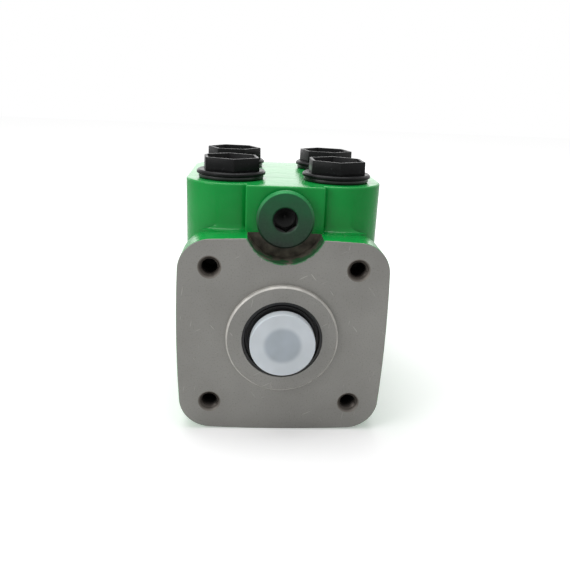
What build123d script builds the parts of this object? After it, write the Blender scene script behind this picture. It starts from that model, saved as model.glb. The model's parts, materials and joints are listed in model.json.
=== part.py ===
from build123d import *
import os
from math import atan, cos, degrees, pi, radians, sin, sqrt

os.makedirs("parts", exist_ok=True)

# Orbital steering unit. Millimetres. The origin is the centre of the mounting flange's
# face, on the steering axis: +X right, +Y to the rear (the end cover), +Z up (the ports).

# ---------------------------------------------------------------- driving dimensions
# Mounting flange, on the steering column's side
bolt_pitch = 82.5
column_bore_d = 10.2          # tapping size of the four M12 threads
column_bore_depth = 22.0
column_countersink_d = 12.8
column_boss_d = 24.0
column_boss_depth = 28.0
flange_half_width = 60.0
flange_top = 58.2
flange_bottom = -59.4
flange_bow = 2.0              # how far each side swells out between its corners
flange_corner_r = 18.5
flange_thickness = 21.0
flange_edge = 0.4
pilot_d = 64.0
pilot_height = 3.5
pilot_chamfer = 1.0

# Port block
port_spacing_x = 63.0
port_front_y = 46.5
port_rear_y = 104.5
port_lobe_r = 26.5
port_face_z = 84.0
port_bore_d = 31.0            # tapping size of the M33 x 2 ports
port_bore_depth = 22.0
port_pocket_d = 22.0
port_pocket_depth = 10.0
gallery_d = 11.0
block_half_width = 22.4       # the boss round the relief valve, ahead of the front lobes
block_front_y = 16.5
block_corner_r = 1.2
casting_edge_r = 1.2
casting_root_r = 4.0          # where each front lobe stands on the flange

# Barrel
housing_length = 131.0
barrel_r = 58.0
waist_r = 51.0
collar_front_y = 106.0
block_under_z = 22.0
block_under_slope = 8.0

# Relief valve, ahead of the ports
relief_z = 66.3
relief_recess_r = 22.4
relief_recess_floor_y = 15.0
relief_collar_d = 32.4
relief_collar_thickness = 4.0
relief_washer_thickness = 1.5
relief_thread_d = 25.0        # tapping size of M27 x 2
relief_thread_length = 17.0
relief_key = 12.0             # across the flats of the socket
relief_key_depth = 9.0
relief_key_turn = 5.0         # degrees
relief_collar_edge = 1.2
relief_guide_d = 13.0
relief_guide_depth = 5.0
relief_shim_thickness = 1.2
relief_chamber_d = 17.0
relief_seat_d = 15.0
relief_seat_length = 8.0
relief_seat_bore_d = 7.0
relief_spring_d = 12.0
relief_wire_d = 2.0
relief_spring_length = 24.0
relief_spring_turns = 5.0
relief_spring_room = 3.0      # between the key's socket and the spring's guide
relief_poppet_d = 12.0
relief_poppet_length = 7.0
relief_passage_length = 8.0   # behind the seat

# Steering shaft, seals and thrust bearing
spool_neck_d = 34.0
spool_neck_chamfer = 1.0
spool_nose_y = -9.8
seal_bore_d = 46.0
seal_bore_depth = 13.0        # behind the flange face
web_thickness = 6.0
web_bore_d = 37.0
dust_seal_width = 6.0
dust_seal_inset = 0.6
dust_wall = 1.4
dust_disc_margin = 1.0        # between the disc and its shell or lip
dust_lip_thickness = 2.0
dust_lip_setback = 1.2
dust_lip_edge = 0.6
dust_rib_count = 2
dust_rib_start = 2.4          # from the lip to the first rib's middle
dust_rib_spacing = 1.3
dust_rib_width = 0.55
dust_rib_length = 2.0
shaft_seal_width = 7.0
energiser_section_d = 2.4
energiser_corner_r = 0.7
race_thickness = 2.0
race_margin = 0.3             # from the web's bore and the sleeve's
needle_d = 3.0
needle_count = 16
needle_length = 4.4
cage_thickness = 2.2
cap_d = 36.8
cap_wall = 1.3
cap_skirt = 6.8
cap_edge_r = 0.8
shaft_spline_teeth = 12
shaft_spline_root_d = 23.4
shaft_spline_tip_d = 20.4
shaft_spline_depth = 30.0

# Spool and sleeve
sleeve_d = 50.0
spool_d = 40.0
spool_bore_d = 30.0
spool_bore_start_y = 58.0
spool_grooves_length = 62.0
port_groove_width = 6.0       # ring grooves in the housing, one for each port
port_groove_depth = 3.0
groove_stations = {"front_left": 56.0, "front_right": 66.0, "rear_left": 78.0, "rear_right": 106.0}
sleeve_front_neck_d = 46.6
spring_y = 41.0
spring_width = 9.0
spring_leaf_thickness = 0.8
spring_arch = 1.6
spring_ring_wall = 1.4
spring_ring_width = 11.0
pin_y = 92.0
pin_d = 8.0
pin_chamfer = 0.6
spool_turn_deg = 10.0
metering_groove_width = 5.0
metering_groove_depth = 2.2
metering_groove_count = 6
sleeve_row_holes = 4
sleeve_hole_d = 4.5

# Gear set behind the housing
plate_thickness = 8.0
gear_width = 50.0
cover_thickness = 18.0
rotor_teeth = 6
eccentricity = 3.5
lobe_circle_r = 38.0
lobe_r = 9.0
cavity_r = 36.6
chamber_hole_d = 7.0
chamber_hole_r = 32.5
chamber_hole_depth = 13.0
chamber_drill_d = 5.0
o_ring_r = 41.0
o_ring_section_d = 2.5
o_ring_corner_r = 0.75
o_ring_groove_width = 2.9
o_ring_groove_depth = 1.9
cover_bolt_circle_r = 50.0
cover_bolt_d = 10.0
cover_bolt_bore_d = 8.5
cover_bolt_hole_d = 10.6
cover_bolt_engagement = 16.0
cover_bolt_bore_depth = 18.0
cover_washer_d = 18.0
cover_washer_thickness = 1.6
cover_bolt_head_af = 16.0
cover_bolt_head_height = 6.4
cover_bolt_turn_deg = 15.0
pin_bolt_nose_d = 5.0
pin_bolt_nose_length = 6.0
cover_edge = 2.0
cover_spotface_depth = 1.0
cover_spotface_margin = 0.5

# Cardan shaft between the cross pin and the rotor
cardan_fork_d = 24.0
cardan_fork_chamfer = 2.0
cardan_fork_root = 4.0        # solid length behind the slot
cardan_shank_d = 16.0
cardan_spline_tip_d = 23.0
cardan_spline_root_d = 18.6
cardan_spline_teeth = 12
cardan_spline_length = 16.0
cardan_spline_gap = 0.5
rotor_spline_root_d = 24.4
rotor_spline_tip_d = 19.8
rotor_space_width = 3.6
fork_reach = 11.0
fork_gap = 0.15
points_per_tooth = 14
spacer_thickness = 6.0
spacer_chamfer = 0.8

# Port plugs
plug_collar_d = 40.9
plug_collar_thickness = 3.4
plug_collar_edge = 0.7
plug_hex_af = 29.8
plug_hex_height = 6.4
plug_wall = 1.9
plug_shank_d = 30.4
plug_shank_wall = 2.5
plug_shank_length = 12.0
plug_seal_d = 38.6
plug_seal_thickness = 2.6
plug_seal_edge_r = 1.0
plug_turns_deg = {"front_left": 8.0, "front_right": 20.0, "rear_left": 4.0, "rear_right": 14.0}

# Check valve under the pressure port
check_ball_d = 8.0
check_bore_d = 12.0
check_bush_length = 8.0
check_seat_d = 6.0
check_bush_key = 5.0          # across the flats of its through hole
check_offset = 3.0            # of the valve's axis from the port's
check_chamber_margin = 1.0    # between the ball and its chamber
check_lift = 2.0
pressure_port = "rear_right"

# Fits
running_gap = 0.03            # radial, between parts that turn in each other
push_gap = 0.02               # radial, between parts that are pushed together
face_gap = 0.05               # between a turning face and a fixed one
clear_gap = 0.35              # between parts that pass each other freely
lobe_gap = 0.12               # between the rotor and the ring's lobes

# ---------------------------------------------------------------- worked-out places
spring_slot_height = 2 * (2 * spring_leaf_thickness + spring_arch + clear_gap)
cross_pin_length = sleeve_d - 2 * clear_gap
ring_lobes = rotor_teeth + 1
seal_floor_y = seal_bore_depth
web_rear_y = seal_floor_y + web_thickness
needle_y = web_rear_y + race_thickness + running_gap
inner_race_y = needle_y + needle_d + running_gap
sleeve_front_y = inner_race_y + race_thickness
sleeve_rear_y = housing_length - face_gap
plate_rear_y = housing_length + plate_thickness
gear_rear_y = plate_rear_y + gear_width
cover_rear_y = gear_rear_y + cover_thickness
rotor_centre_y = (plate_rear_y + gear_rear_y) / 2
cardan_tilt_deg = degrees(atan(eccentricity / (rotor_centre_y - pin_y)))
bore_r = sleeve_d / 2 + running_gap
port_x = port_spacing_x / 2
block_half = port_x + port_lobe_r
spool_main_y = sleeve_front_y + face_gap
spool_grooves_rear_y = pin_y + spool_grooves_length / 2
spring_front_y = spring_y - spring_ring_width / 2
spring_rear_y = spring_y + spring_ring_width / 2
relief_bore_y = relief_recess_floor_y + relief_thread_length
relief_collar_y = relief_recess_floor_y - relief_washer_thickness - relief_collar_thickness
relief_shim_y = relief_collar_y + relief_key_depth + relief_guide_depth + relief_spring_room
relief_spring_y = relief_shim_y + relief_shim_thickness
relief_poppet_y = relief_spring_y + relief_spring_length
relief_seat_y = relief_poppet_y + relief_poppet_length
corner_places = [(sx * bolt_pitch / 2, sz * bolt_pitch / 2) for sx in (-1, 1) for sz in (-1, 1)]
port_places = {
    "front_left": (-port_x, port_front_y),
    "front_right": (port_x, port_front_y),
    "rear_left": (-port_x, port_rear_y),
    "rear_right": (port_x, port_rear_y),
}
root_base_z = flange_top - flange_bow * (port_spacing_x / 2 / (flange_half_width - flange_bow)) ** 2
relief_passage_y = relief_seat_y + relief_seat_length + relief_passage_length
check_place = (port_places[pressure_port][0] + check_offset, port_places[pressure_port][1])
check_chamber_d = check_ball_d + check_chamber_margin
check_bush_top_z = port_face_z - port_bore_depth - port_pocket_depth
check_ball_rise = sqrt((check_ball_d / 2) ** 2 - (check_seat_d / 2) ** 2) + face_gap
check_ball_top_z = check_bush_top_z - check_bush_length - clear_gap - check_lift
check_seat_z = check_ball_top_z - check_ball_d / 2 - check_ball_rise
chamber_row_y = housing_length - chamber_hole_depth + chamber_hole_d / 2


def station(y, height=0):
    """The plane across the steering axis at y, centred at a height. It faces the front, so
    what is drawn on a piece's rear face is extruded forwards."""
    return Plane(origin=(0, y, height), x_dir=(1, 0, 0), z_dir=(0, -1, 0))


def band(front, rear, inner_r, outer_r):
    """A rectangle between two stations and two radii, for a ring turned about the axis."""
    with Locations(((front + rear) / 2, (inner_r + outer_r) / 2)):
        Rectangle(rear - front, outer_r - inner_r)


def bolt_angles(start):
    """The angles of what repeats with the ring's lobes, the first one start degrees up."""
    return [start + k * 360 / ring_lobes for k in range(ring_lobes)]


def round_places(radius, angles):
    return [(radius * cos(radians(a)), radius * sin(radians(a))) for a in angles]


# Lobe 1 of the ring points straight down, with a bolt behind each lobe.
lobe_angles = bolt_angles(-90)
chamber_angles = bolt_angles(-90 + 180 / ring_lobes)
bolt_places = round_places(cover_bolt_circle_r, lobe_angles)
chamber_places = round_places(chamber_hole_r, chamber_angles)

# ---------------------------------------------------------------- housing
with BuildPart() as housing:
    # Blends where the front lobes stand on the flange
    for name in ("front_left", "front_right"):
        lobe_x, lobe_y = port_places[name]
        with BuildSketch(Plane.XZ.offset(-lobe_y)):
            with BuildLine():
                top = (lobe_x + port_lobe_r, root_base_z + casting_root_r)
                toe = (lobe_x + port_lobe_r + casting_root_r, root_base_z)
                RadiusArc(top, toe, casting_root_r)
                Polyline(toe, (toe[0], block_under_z), (lobe_x, block_under_z), (lobe_x, top[1]), top)
            make_face()
        revolve(axis=Axis((lobe_x, lobe_y, 0), (0, 0, 1)))
    with BuildSketch(station(housing_length)):
        Rectangle(4 * block_half, 4 * port_face_z)
    extrude(amount=housing_length - flange_thickness, mode=Mode.SUBTRACT)
    # Port block: two lobes at the front, rounded corners at the rear, a boss between them
    with BuildSketch(Plane.XY.offset(block_under_z)) as block_plan:
        for name in port_places:
            with Locations(port_places[name]):
                Circle(port_lobe_r)
        with Locations((0, (port_front_y + port_rear_y) / 2)):
            Rectangle(2 * block_half, port_rear_y - port_front_y)
        with Locations((0, (block_front_y + housing_length) / 2)):
            Rectangle(2 * block_half_width, housing_length - block_front_y)
        with Locations((0, (port_rear_y + housing_length) / 2)):
            Rectangle(port_spacing_x, housing_length - port_rear_y)
        fillet(block_plan.vertices().group_by(Axis.Y)[0], radius=block_corner_r)
    extrude(amount=port_face_z - block_under_z)
    # Its underside slopes in to the barrel
    with BuildSketch(Plane.XY.offset(block_under_z)):
        with Locations((0, (port_front_y - port_lobe_r + housing_length) / 2)):
            RectangleRounded(2 * block_half, housing_length - port_front_y + port_lobe_r, port_lobe_r)
    extrude(amount=-block_under_slope, taper=45)
    # Barrel, with a collar at the rear to carry the gear set
    with BuildSketch(station(housing_length)):
        Circle(waist_r)
    extrude(amount=housing_length - flange_thickness / 2)
    with BuildSketch(station(housing_length)):
        Circle(barrel_r)
    extrude(amount=housing_length - collar_front_y)
    # Mounting flange: a square whose sides swell a little between its rounded corners
    with BuildSketch(station(flange_thickness)):
        corner_x = flange_half_width - flange_bow
        upper_z = flange_top - flange_bow
        lower_z = flange_bottom + flange_bow
        middle_z = (flange_top + flange_bottom) / 2
        with BuildLine():
            ThreePointArc((-corner_x, upper_z), (0, flange_top), (corner_x, upper_z))
            ThreePointArc((corner_x, upper_z), (flange_half_width, middle_z), (corner_x, lower_z))
            ThreePointArc((corner_x, lower_z), (0, flange_bottom), (-corner_x, lower_z))
            ThreePointArc((-corner_x, lower_z), (-flange_half_width, middle_z), (-corner_x, upper_z))
        flange_face = make_face()
        fillet(flange_face.vertices(), radius=flange_corner_r)
    extrude(amount=flange_thickness)
    chamfer(housing.faces().sort_by(Axis.Y)[0].edges(), length=flange_edge)
    # Bosses behind the column's threads
    with BuildSketch(station(column_boss_depth)):
        with Locations(*corner_places):
            Circle(column_boss_d / 2)
    extrude(amount=column_boss_depth - flange_thickness / 2)
    # Pilot boss
    with BuildSketch(station(flange_thickness / 2)):
        Circle(pilot_d / 2)
    extrude(amount=flange_thickness / 2 + pilot_height)
    chamfer(housing.faces().sort_by(Axis.Y)[0].edges(), length=pilot_chamfer)
    fillet(housing.faces().sort_by(Axis.Z)[-1].edges(), radius=casting_edge_r)
    # Recess milled round the relief valve's plug
    with BuildSketch(station(relief_recess_floor_y, relief_z)):
        Circle(relief_recess_r)
    extrude(amount=relief_recess_floor_y + pilot_height, mode=Mode.SUBTRACT)
    # Relief valve's bores
    with BuildSketch(station(relief_bore_y, relief_z)):
        Circle(relief_thread_d / 2)
    extrude(amount=relief_bore_y, mode=Mode.SUBTRACT)
    with BuildSketch(station(relief_seat_y, relief_z)):
        Circle(relief_chamber_d / 2)
    extrude(amount=relief_seat_y - relief_recess_floor_y, mode=Mode.SUBTRACT)
    with BuildSketch(station(relief_seat_y + relief_seat_length, relief_z)):
        Circle(relief_seat_d / 2)
    extrude(amount=relief_seat_length + 1, mode=Mode.SUBTRACT)
    with BuildSketch(station(relief_passage_y, relief_z)):
        Circle(relief_seat_bore_d / 2)
    extrude(amount=relief_passage_y - relief_seat_y, mode=Mode.SUBTRACT)
    # Seal bore, web, sleeve bore and the ring groove at each port's station
    with BuildSketch(Plane.YZ):
        band(-pilot_height - 1, seal_floor_y, 0, seal_bore_d / 2)
        band(seal_floor_y - 1, web_rear_y + 1, 0, web_bore_d / 2)
        band(web_rear_y, housing_length + 1, 0, bore_r)
        for name in groove_stations:
            band(groove_stations[name] - port_groove_width / 2, groove_stations[name] + port_groove_width / 2,
                 bore_r - 1, bore_r + port_groove_depth)
    revolve(axis=Axis.Y, mode=Mode.SUBTRACT)
    # Groove for the seal against the distributor plate
    with BuildSketch(Plane.YZ):
        band(housing_length - o_ring_groove_depth, housing_length + 1,
             o_ring_r - o_ring_groove_width / 2, o_ring_r + o_ring_groove_width / 2)
    revolve(axis=Axis.Y, mode=Mode.SUBTRACT)
    # Column threads
    with BuildSketch(station(column_bore_depth)):
        with Locations(*corner_places):
            Circle(column_bore_d / 2)
    extrude(amount=column_bore_depth, mode=Mode.SUBTRACT)
    mouths = housing.edges().filter_by(GeomType.CIRCLE).filter_by(
        lambda e: abs(e.radius - column_bore_d / 2) < 1e-3 and abs(e.arc_center.Y) < 1e-3
    )
    chamfer(mouths, length=(column_countersink_d - column_bore_d) / 2)
    # Ports, each with a pocket below and a gallery down to its groove
    with BuildSketch(Plane.XY.offset(port_face_z)):
        with Locations(*port_places.values()):
            Circle(port_bore_d / 2)
    extrude(amount=-port_bore_depth, mode=Mode.SUBTRACT)
    with BuildSketch(Plane.XY.offset(port_face_z)):
        with Locations(*port_places.values()):
            Circle(port_pocket_d / 2)
    extrude(amount=-port_bore_depth - port_pocket_depth, mode=Mode.SUBTRACT)
    for name in port_places:
        pocket = Vector(*port_places[name], port_face_z - port_bore_depth - port_pocket_depth / 2)
        groove = Vector(0, groove_stations[name], 0)
        with BuildSketch(Plane(origin=pocket, z_dir=groove - pocket)):
            Circle(gallery_d / 2)
        extrude(amount=(groove - pocket).length - bore_r / 2, mode=Mode.SUBTRACT)
    # Passage from the pressure port's pocket to the relief valve
    pressure_pocket = Vector(*port_places[pressure_port], pocket.Z)
    relief_end = Vector(0, relief_passage_y - relief_seat_bore_d / 2, relief_z)
    with BuildSketch(Plane(origin=pressure_pocket, z_dir=relief_end - pressure_pocket)):
        Circle(relief_seat_bore_d / 2)
    extrude(amount=(relief_end - pressure_pocket).length, mode=Mode.SUBTRACT)
    # Check valve's bores under the same pocket
    with BuildSketch(Plane.XY.offset(check_bush_top_z)):
        with Locations(check_place):
            Circle(check_bore_d / 2)
    extrude(amount=-check_bush_length, mode=Mode.SUBTRACT)
    with BuildSketch(Plane.XY.offset(check_bush_top_z)):
        with Locations(check_place):
            Circle(check_chamber_d / 2)
    extrude(amount=check_seat_z - check_bush_top_z, mode=Mode.SUBTRACT)
    with BuildSketch(Plane.XY.offset(check_bush_top_z)):
        with Locations(check_place):
            Circle(check_seat_d / 2)
    extrude(amount=check_seat_z - check_bush_top_z - check_seat_d, mode=Mode.SUBTRACT)
    # Holes to the gear set's chambers, with a radial drilling to each
    with BuildSketch(station(housing_length)):
        with Locations(*chamber_places):
            Circle(chamber_hole_d / 2)
    extrude(amount=chamber_hole_depth, mode=Mode.SUBTRACT)
    for x, z in chamber_places:
        with BuildSketch(Plane(origin=(0, chamber_row_y, 0), z_dir=(x, 0, z))):
            Circle(chamber_drill_d / 2)
        extrude(amount=chamber_hole_r, mode=Mode.SUBTRACT)
    # Threads for the cover bolts, the lowest one deeper for the pin bolt's nose
    with BuildSketch(station(housing_length)):
        with Locations(*bolt_places):
            Circle(cover_bolt_bore_d / 2)
    extrude(amount=cover_bolt_bore_depth, mode=Mode.SUBTRACT)
    with BuildSketch(station(housing_length)):
        with Locations(bolt_places[0]):
            Circle(pin_bolt_nose_d / 2 + clear_gap)
    extrude(amount=cover_bolt_bore_depth + pin_bolt_nose_length, mode=Mode.SUBTRACT)
housing.part.label = "housing"
export_step(housing.part, "parts/housing.step")

# ---------------------------------------------------------------- relief valve
with BuildPart() as relief_plug:
    with BuildSketch(station(relief_recess_floor_y - relief_washer_thickness, relief_z)):
        Circle(relief_collar_d / 2)
    extrude(amount=relief_collar_thickness)
    chamfer(relief_plug.faces().sort_by(Axis.Y)[0].edges(), length=relief_collar_edge)
    with BuildSketch(station(relief_bore_y - clear_gap, relief_z)):
        Circle(relief_thread_d / 2 - push_gap)
    extrude(amount=relief_bore_y - clear_gap - relief_collar_y - relief_collar_thickness / 2)
    with BuildSketch(station(relief_collar_y + relief_key_depth, relief_z)):
        RegularPolygon(relief_key / 2, 6, major_radius=False, rotation=relief_key_turn)
    extrude(amount=relief_key_depth, mode=Mode.SUBTRACT)
    with BuildSketch(station(relief_bore_y, relief_z)):
        Circle(relief_guide_d / 2)
    extrude(amount=relief_bore_y - relief_shim_y, mode=Mode.SUBTRACT)
relief_plug.part.label = "relief_plug"
export_step(relief_plug.part, "parts/relief_plug.step")

with BuildPart() as relief_plug_washer:
    with BuildSketch(station(relief_recess_floor_y, relief_z)):
        Circle(relief_collar_d / 2 - relief_collar_edge)
        Circle(relief_thread_d / 2 + clear_gap, mode=Mode.SUBTRACT)
    extrude(amount=relief_washer_thickness)
relief_plug_washer.part.label = "relief_plug_washer"
export_step(relief_plug_washer.part, "parts/relief_plug_washer.step")

with BuildPart() as relief_shim:
    with BuildSketch(station(relief_spring_y, relief_z)):
        Circle(relief_guide_d / 2 - push_gap)
    extrude(amount=relief_shim_thickness)
relief_shim.part.label = "relief_shim"
export_step(relief_shim.part, "parts/relief_shim.step")

# A spring of square wire, with a little room at each end
with BuildPart() as relief_spring:
    coil_r = (relief_spring_d - relief_wire_d) / 2
    coil_start_y = relief_spring_y + relief_wire_d / 2 + face_gap
    coil_length = relief_spring_length - relief_wire_d - 2 * face_gap
    with BuildLine():
        coil = Helix(
            pitch=coil_length / relief_spring_turns,
            height=coil_length,
            radius=coil_r,
            center=(0, coil_start_y, relief_z),
            direction=(0, 1, 0),
        )
    with BuildSketch(Plane(origin=coil @ 0, x_dir=(0, 1, 0), z_dir=coil % 0)):
        Rectangle(relief_wire_d - push_gap, relief_wire_d)
    sweep(is_frenet=True)
relief_spring.part.label = "relief_spring"
export_step(relief_spring.part, "parts/relief_spring.step")

# Poppet: a flat spring seat with a cone that closes the seat's bore
with BuildPart() as relief_poppet:
    cone_y = relief_seat_y - (relief_poppet_d - relief_seat_bore_d) / 2 - face_gap
    cone_tip_r = relief_seat_bore_d / 4
    with BuildSketch(Plane.YZ):
        with BuildLine():
            Polyline(
                (relief_poppet_y, relief_z),
                (relief_poppet_y, relief_z + relief_poppet_d / 2),
                (cone_y, relief_z + relief_poppet_d / 2),
                (cone_y + relief_poppet_d / 2 - cone_tip_r, relief_z + cone_tip_r),
                (cone_y + relief_poppet_d / 2 - cone_tip_r, relief_z),
                close=True,
            )
        make_face()
    revolve(axis=Axis((0, 0, relief_z), (0, 1, 0)))
relief_poppet.part.label = "relief_poppet"
export_step(relief_poppet.part, "parts/relief_poppet.step")

with BuildPart() as relief_seat:
    with BuildSketch(station(relief_seat_y + relief_seat_length, relief_z)):
        Circle(relief_seat_d / 2 - push_gap)
        Circle(relief_seat_bore_d / 2, mode=Mode.SUBTRACT)
    extrude(amount=relief_seat_length)
relief_seat.part.label = "relief_seat"
export_step(relief_seat.part, "parts/relief_seat.step")

# ---------------------------------------------------------------- check valve
with BuildPart() as check_ball:
    with Locations((*check_place, check_seat_z + check_ball_rise)):
        Sphere(check_ball_d / 2)
check_ball.part.label = "check_ball"
export_step(check_ball.part, "parts/check_ball.step")

with BuildPart() as check_bushing:
    with BuildSketch(Plane.XY.offset(check_bush_top_z)):
        with Locations(check_place):
            Circle(check_bore_d / 2 - push_gap)
            RegularPolygon(check_bush_key / 2, 6, major_radius=False, mode=Mode.SUBTRACT)
    extrude(amount=-check_bush_length)
check_bushing.part.label = "check_bushing"
export_step(check_bushing.part, "parts/check_bushing.step")

# ---------------------------------------------------------------- shaft seals
# Wiper at the mouth of the seal bore: a shell with ribs round its face and a thin lip
with BuildPart() as dust_seal:
    seal_outer_r = seal_bore_d / 2 - push_gap
    lip_r = spool_neck_d / 2 + face_gap
    dust_front_y = -pilot_height + dust_seal_inset
    dust_middle_y = dust_front_y + dust_seal_width / 2
    dust_rear_y = dust_front_y + dust_seal_width
    with BuildSketch(Plane.YZ):
        band(dust_front_y, dust_front_y + dust_seal_width, seal_outer_r - dust_wall, seal_outer_r)
        band(dust_middle_y, dust_rear_y, lip_r + dust_disc_margin, seal_outer_r - dust_disc_margin)
        with BuildLine():
            Polyline(
                (dust_rear_y, lip_r + dust_lip_thickness),
                (dust_rear_y, lip_r + dust_lip_edge),
                (dust_front_y + dust_lip_setback, lip_r),
                (dust_front_y + dust_lip_edge, lip_r + dust_lip_edge),
                (dust_middle_y, lip_r + dust_lip_thickness),
                close=True,
            )
        make_face()
        for k in range(dust_rib_count):
            rib_r = lip_r + dust_rib_start + k * dust_rib_spacing
            band(dust_middle_y - dust_rib_length, dust_middle_y + face_gap,
                 rib_r - dust_rib_width / 2, rib_r + dust_rib_width / 2)
    revolve(axis=Axis.Y)
dust_seal.part.label = "dust_seal"
export_step(dust_seal.part, "parts/dust_seal.step")

# Pressure seal: a ring with a cup in its rear face, which its energising ring fills
with BuildPart() as shaft_seal:
    seal_front_y = seal_floor_y - shaft_seal_width
    seal_middle_r = (lip_r + seal_outer_r) / 2
    with BuildSketch(Plane.YZ):
        band(seal_front_y, seal_floor_y, lip_r, seal_outer_r)
    revolve(axis=Axis.Y)
    with BuildSketch(Plane.YZ):
        band(seal_floor_y - energiser_section_d, seal_floor_y + 1,
             seal_middle_r - energiser_section_d / 2, seal_middle_r + energiser_section_d / 2)
    revolve(axis=Axis.Y, mode=Mode.SUBTRACT)
shaft_seal.part.label = "shaft_seal"
export_step(shaft_seal.part, "parts/shaft_seal.step")

with BuildPart() as shaft_seal_energiser:
    with BuildSketch(Plane.YZ):
        with Locations((seal_floor_y - energiser_section_d / 2, seal_middle_r)):
            RectangleRounded(energiser_section_d - push_gap, energiser_section_d - push_gap,
                             energiser_corner_r)
    revolve(axis=Axis.Y)
shaft_seal_energiser.part.label = "shaft_seal_energiser"
export_step(shaft_seal_energiser.part, "parts/shaft_seal_energiser.step")

# ---------------------------------------------------------------- thrust bearing
race_outer_r = bore_r - race_margin
race_inner_r = web_bore_d / 2 + race_margin

with BuildPart() as bearing_outer_race:
    with BuildSketch(Plane.YZ):
        band(web_rear_y, web_rear_y + race_thickness, race_inner_r, race_outer_r)
    revolve(axis=Axis.Y)
bearing_outer_race.part.label = "bearing_outer_race"
export_step(bearing_outer_race.part, "parts/bearing_outer_race.step")

with BuildPart() as bearing_inner_race:
    with BuildSketch(Plane.YZ):
        band(inner_race_y, inner_race_y + race_thickness, race_inner_r, race_outer_r)
    revolve(axis=Axis.Y)
bearing_inner_race.part.label = "bearing_inner_race"
export_step(bearing_inner_race.part, "parts/bearing_inner_race.step")

needle_middle_r = (race_inner_r + race_outer_r) / 2

with BuildPart() as needle_cage:
    cage_middle_y = needle_y + needle_d / 2
    with BuildSketch(Plane.YZ):
        band(cage_middle_y - cage_thickness / 2, cage_middle_y + cage_thickness / 2,
             race_inner_r, race_outer_r)
    revolve(axis=Axis.Y)
    with BuildSketch(station(cage_middle_y + cage_thickness / 2)):
        with PolarLocations(needle_middle_r, needle_count):
            Rectangle(needle_length + 2 * push_gap, needle_d + 2 * push_gap)
    extrude(amount=cage_thickness, mode=Mode.SUBTRACT)
needle_cage.part.label = "needle_cage"
export_step(needle_cage.part, "parts/needle_cage.step")

with BuildPart() as needle_rollers:
    for k in range(needle_count):
        angle = 2 * pi * k / needle_count
        outward = Vector(cos(angle), 0, sin(angle))
        start = outward * (needle_middle_r - needle_length / 2) + Vector(0, cage_middle_y, 0)
        with BuildSketch(Plane(origin=start, z_dir=outward)):
            Circle(needle_d / 2)
        extrude(amount=needle_length)
needle_rollers.part.label = "needle_rollers"
export_step(needle_rollers.part, "parts/needle_rollers.step")

# ---------------------------------------------------------------- spool
pin_window_d = pin_d + 2 * (spool_d / 2 * sin(radians(spool_turn_deg)) + clear_gap)

with BuildPart() as spool:
    with BuildSketch(Plane.YZ):
        band(spool_nose_y, spool_main_y + 1, 0, spool_neck_d / 2)
        band(spool_main_y, sleeve_rear_y, 0, spool_d / 2)
    revolve(axis=Axis.Y)
    with BuildSketch(Plane.YZ):
        band(spool_bore_start_y, sleeve_rear_y + 1, 0, spool_bore_d / 2)
    revolve(axis=Axis.Y, mode=Mode.SUBTRACT)
    # Internal spline for the steering column's shaft
    with BuildSketch(station(spool_nose_y + shaft_spline_depth)):
        Circle(shaft_spline_tip_d / 2)
        with PolarLocations(0, shaft_spline_teeth):
            with Locations((shaft_spline_root_d / 4, 0)):
                Rectangle(shaft_spline_root_d / 2, pi * shaft_spline_tip_d / shaft_spline_teeth / 2)
    extrude(amount=shaft_spline_depth, mode=Mode.SUBTRACT)
    chamfer(spool.edges().filter_by(GeomType.CIRCLE).filter_by(
        lambda e: abs(e.radius - spool_neck_d / 2) < 1e-3 and abs(e.arc_center.Y - spool_nose_y) < 1e-3
    ), length=spool_neck_chamfer)
    # Slot through which the centring springs pass
    with BuildSketch(Plane.XZ.offset(-spring_y - spring_width / 2 - clear_gap)):
        Rectangle(spool_d + 2, spring_slot_height)
    extrude(amount=spring_width + 2 * clear_gap, mode=Mode.SUBTRACT)
    # Windows that let the cross pin swing against the spool
    with BuildSketch(Plane.YZ.offset(-spool_d / 2 - 1)):
        with Locations((pin_y, 0)):
            Circle(pin_window_d / 2)
    extrude(amount=spool_d + 2, mode=Mode.SUBTRACT)
    # Metering grooves milled along the outside
    with BuildSketch(station(spool_grooves_rear_y)):
        with PolarLocations(spool_d / 2, metering_groove_count, start_angle=180 / metering_groove_count):
            Rectangle(2 * metering_groove_depth, metering_groove_width)
    extrude(amount=spool_grooves_length, mode=Mode.SUBTRACT)
spool.part.label = "spool"
export_step(spool.part, "parts/spool.step")

# ---------------------------------------------------------------- sleeve
with BuildPart() as sleeve:
    with BuildSketch(Plane.YZ):
        band(sleeve_front_y, spring_rear_y + 1, spool_d / 2 + running_gap, sleeve_front_neck_d / 2)
        band(spring_rear_y, sleeve_rear_y, spool_d / 2 + running_gap, sleeve_d / 2)
    revolve(axis=Axis.Y)
    with BuildSketch(Plane.XZ.offset(-spring_y - spring_width / 2 - clear_gap)):
        Rectangle(sleeve_d + 2, spring_slot_height)
    extrude(amount=spring_width + 2 * clear_gap, mode=Mode.SUBTRACT)
    # Holes for the cross pin
    with BuildSketch(Plane.YZ.offset(-sleeve_d / 2 - 1)):
        with Locations((pin_y, 0)):
            Circle(pin_d / 2 + push_gap)
    extrude(amount=sleeve_d + 2, mode=Mode.SUBTRACT)
    # Rows of holes that meet each port's groove, and the row that meets the gear set
    for row_y in groove_stations.values():
        for k in range(sleeve_row_holes):
            angle = radians(45 + k * 360 / sleeve_row_holes)
            with BuildSketch(Plane(origin=(0, row_y, 0), z_dir=(cos(angle), 0, sin(angle)))):
                Circle(sleeve_hole_d / 2)
            extrude(amount=sleeve_d / 2 + 1, mode=Mode.SUBTRACT)
    for x, z in chamber_places:
        with BuildSketch(Plane(origin=(0, chamber_row_y, 0), z_dir=(x, 0, z))):
            Circle(sleeve_hole_d / 2)
        extrude(amount=sleeve_d / 2 + 1, mode=Mode.SUBTRACT)
sleeve.part.label = "sleeve"
export_step(sleeve.part, "parts/sleeve.step")

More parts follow.
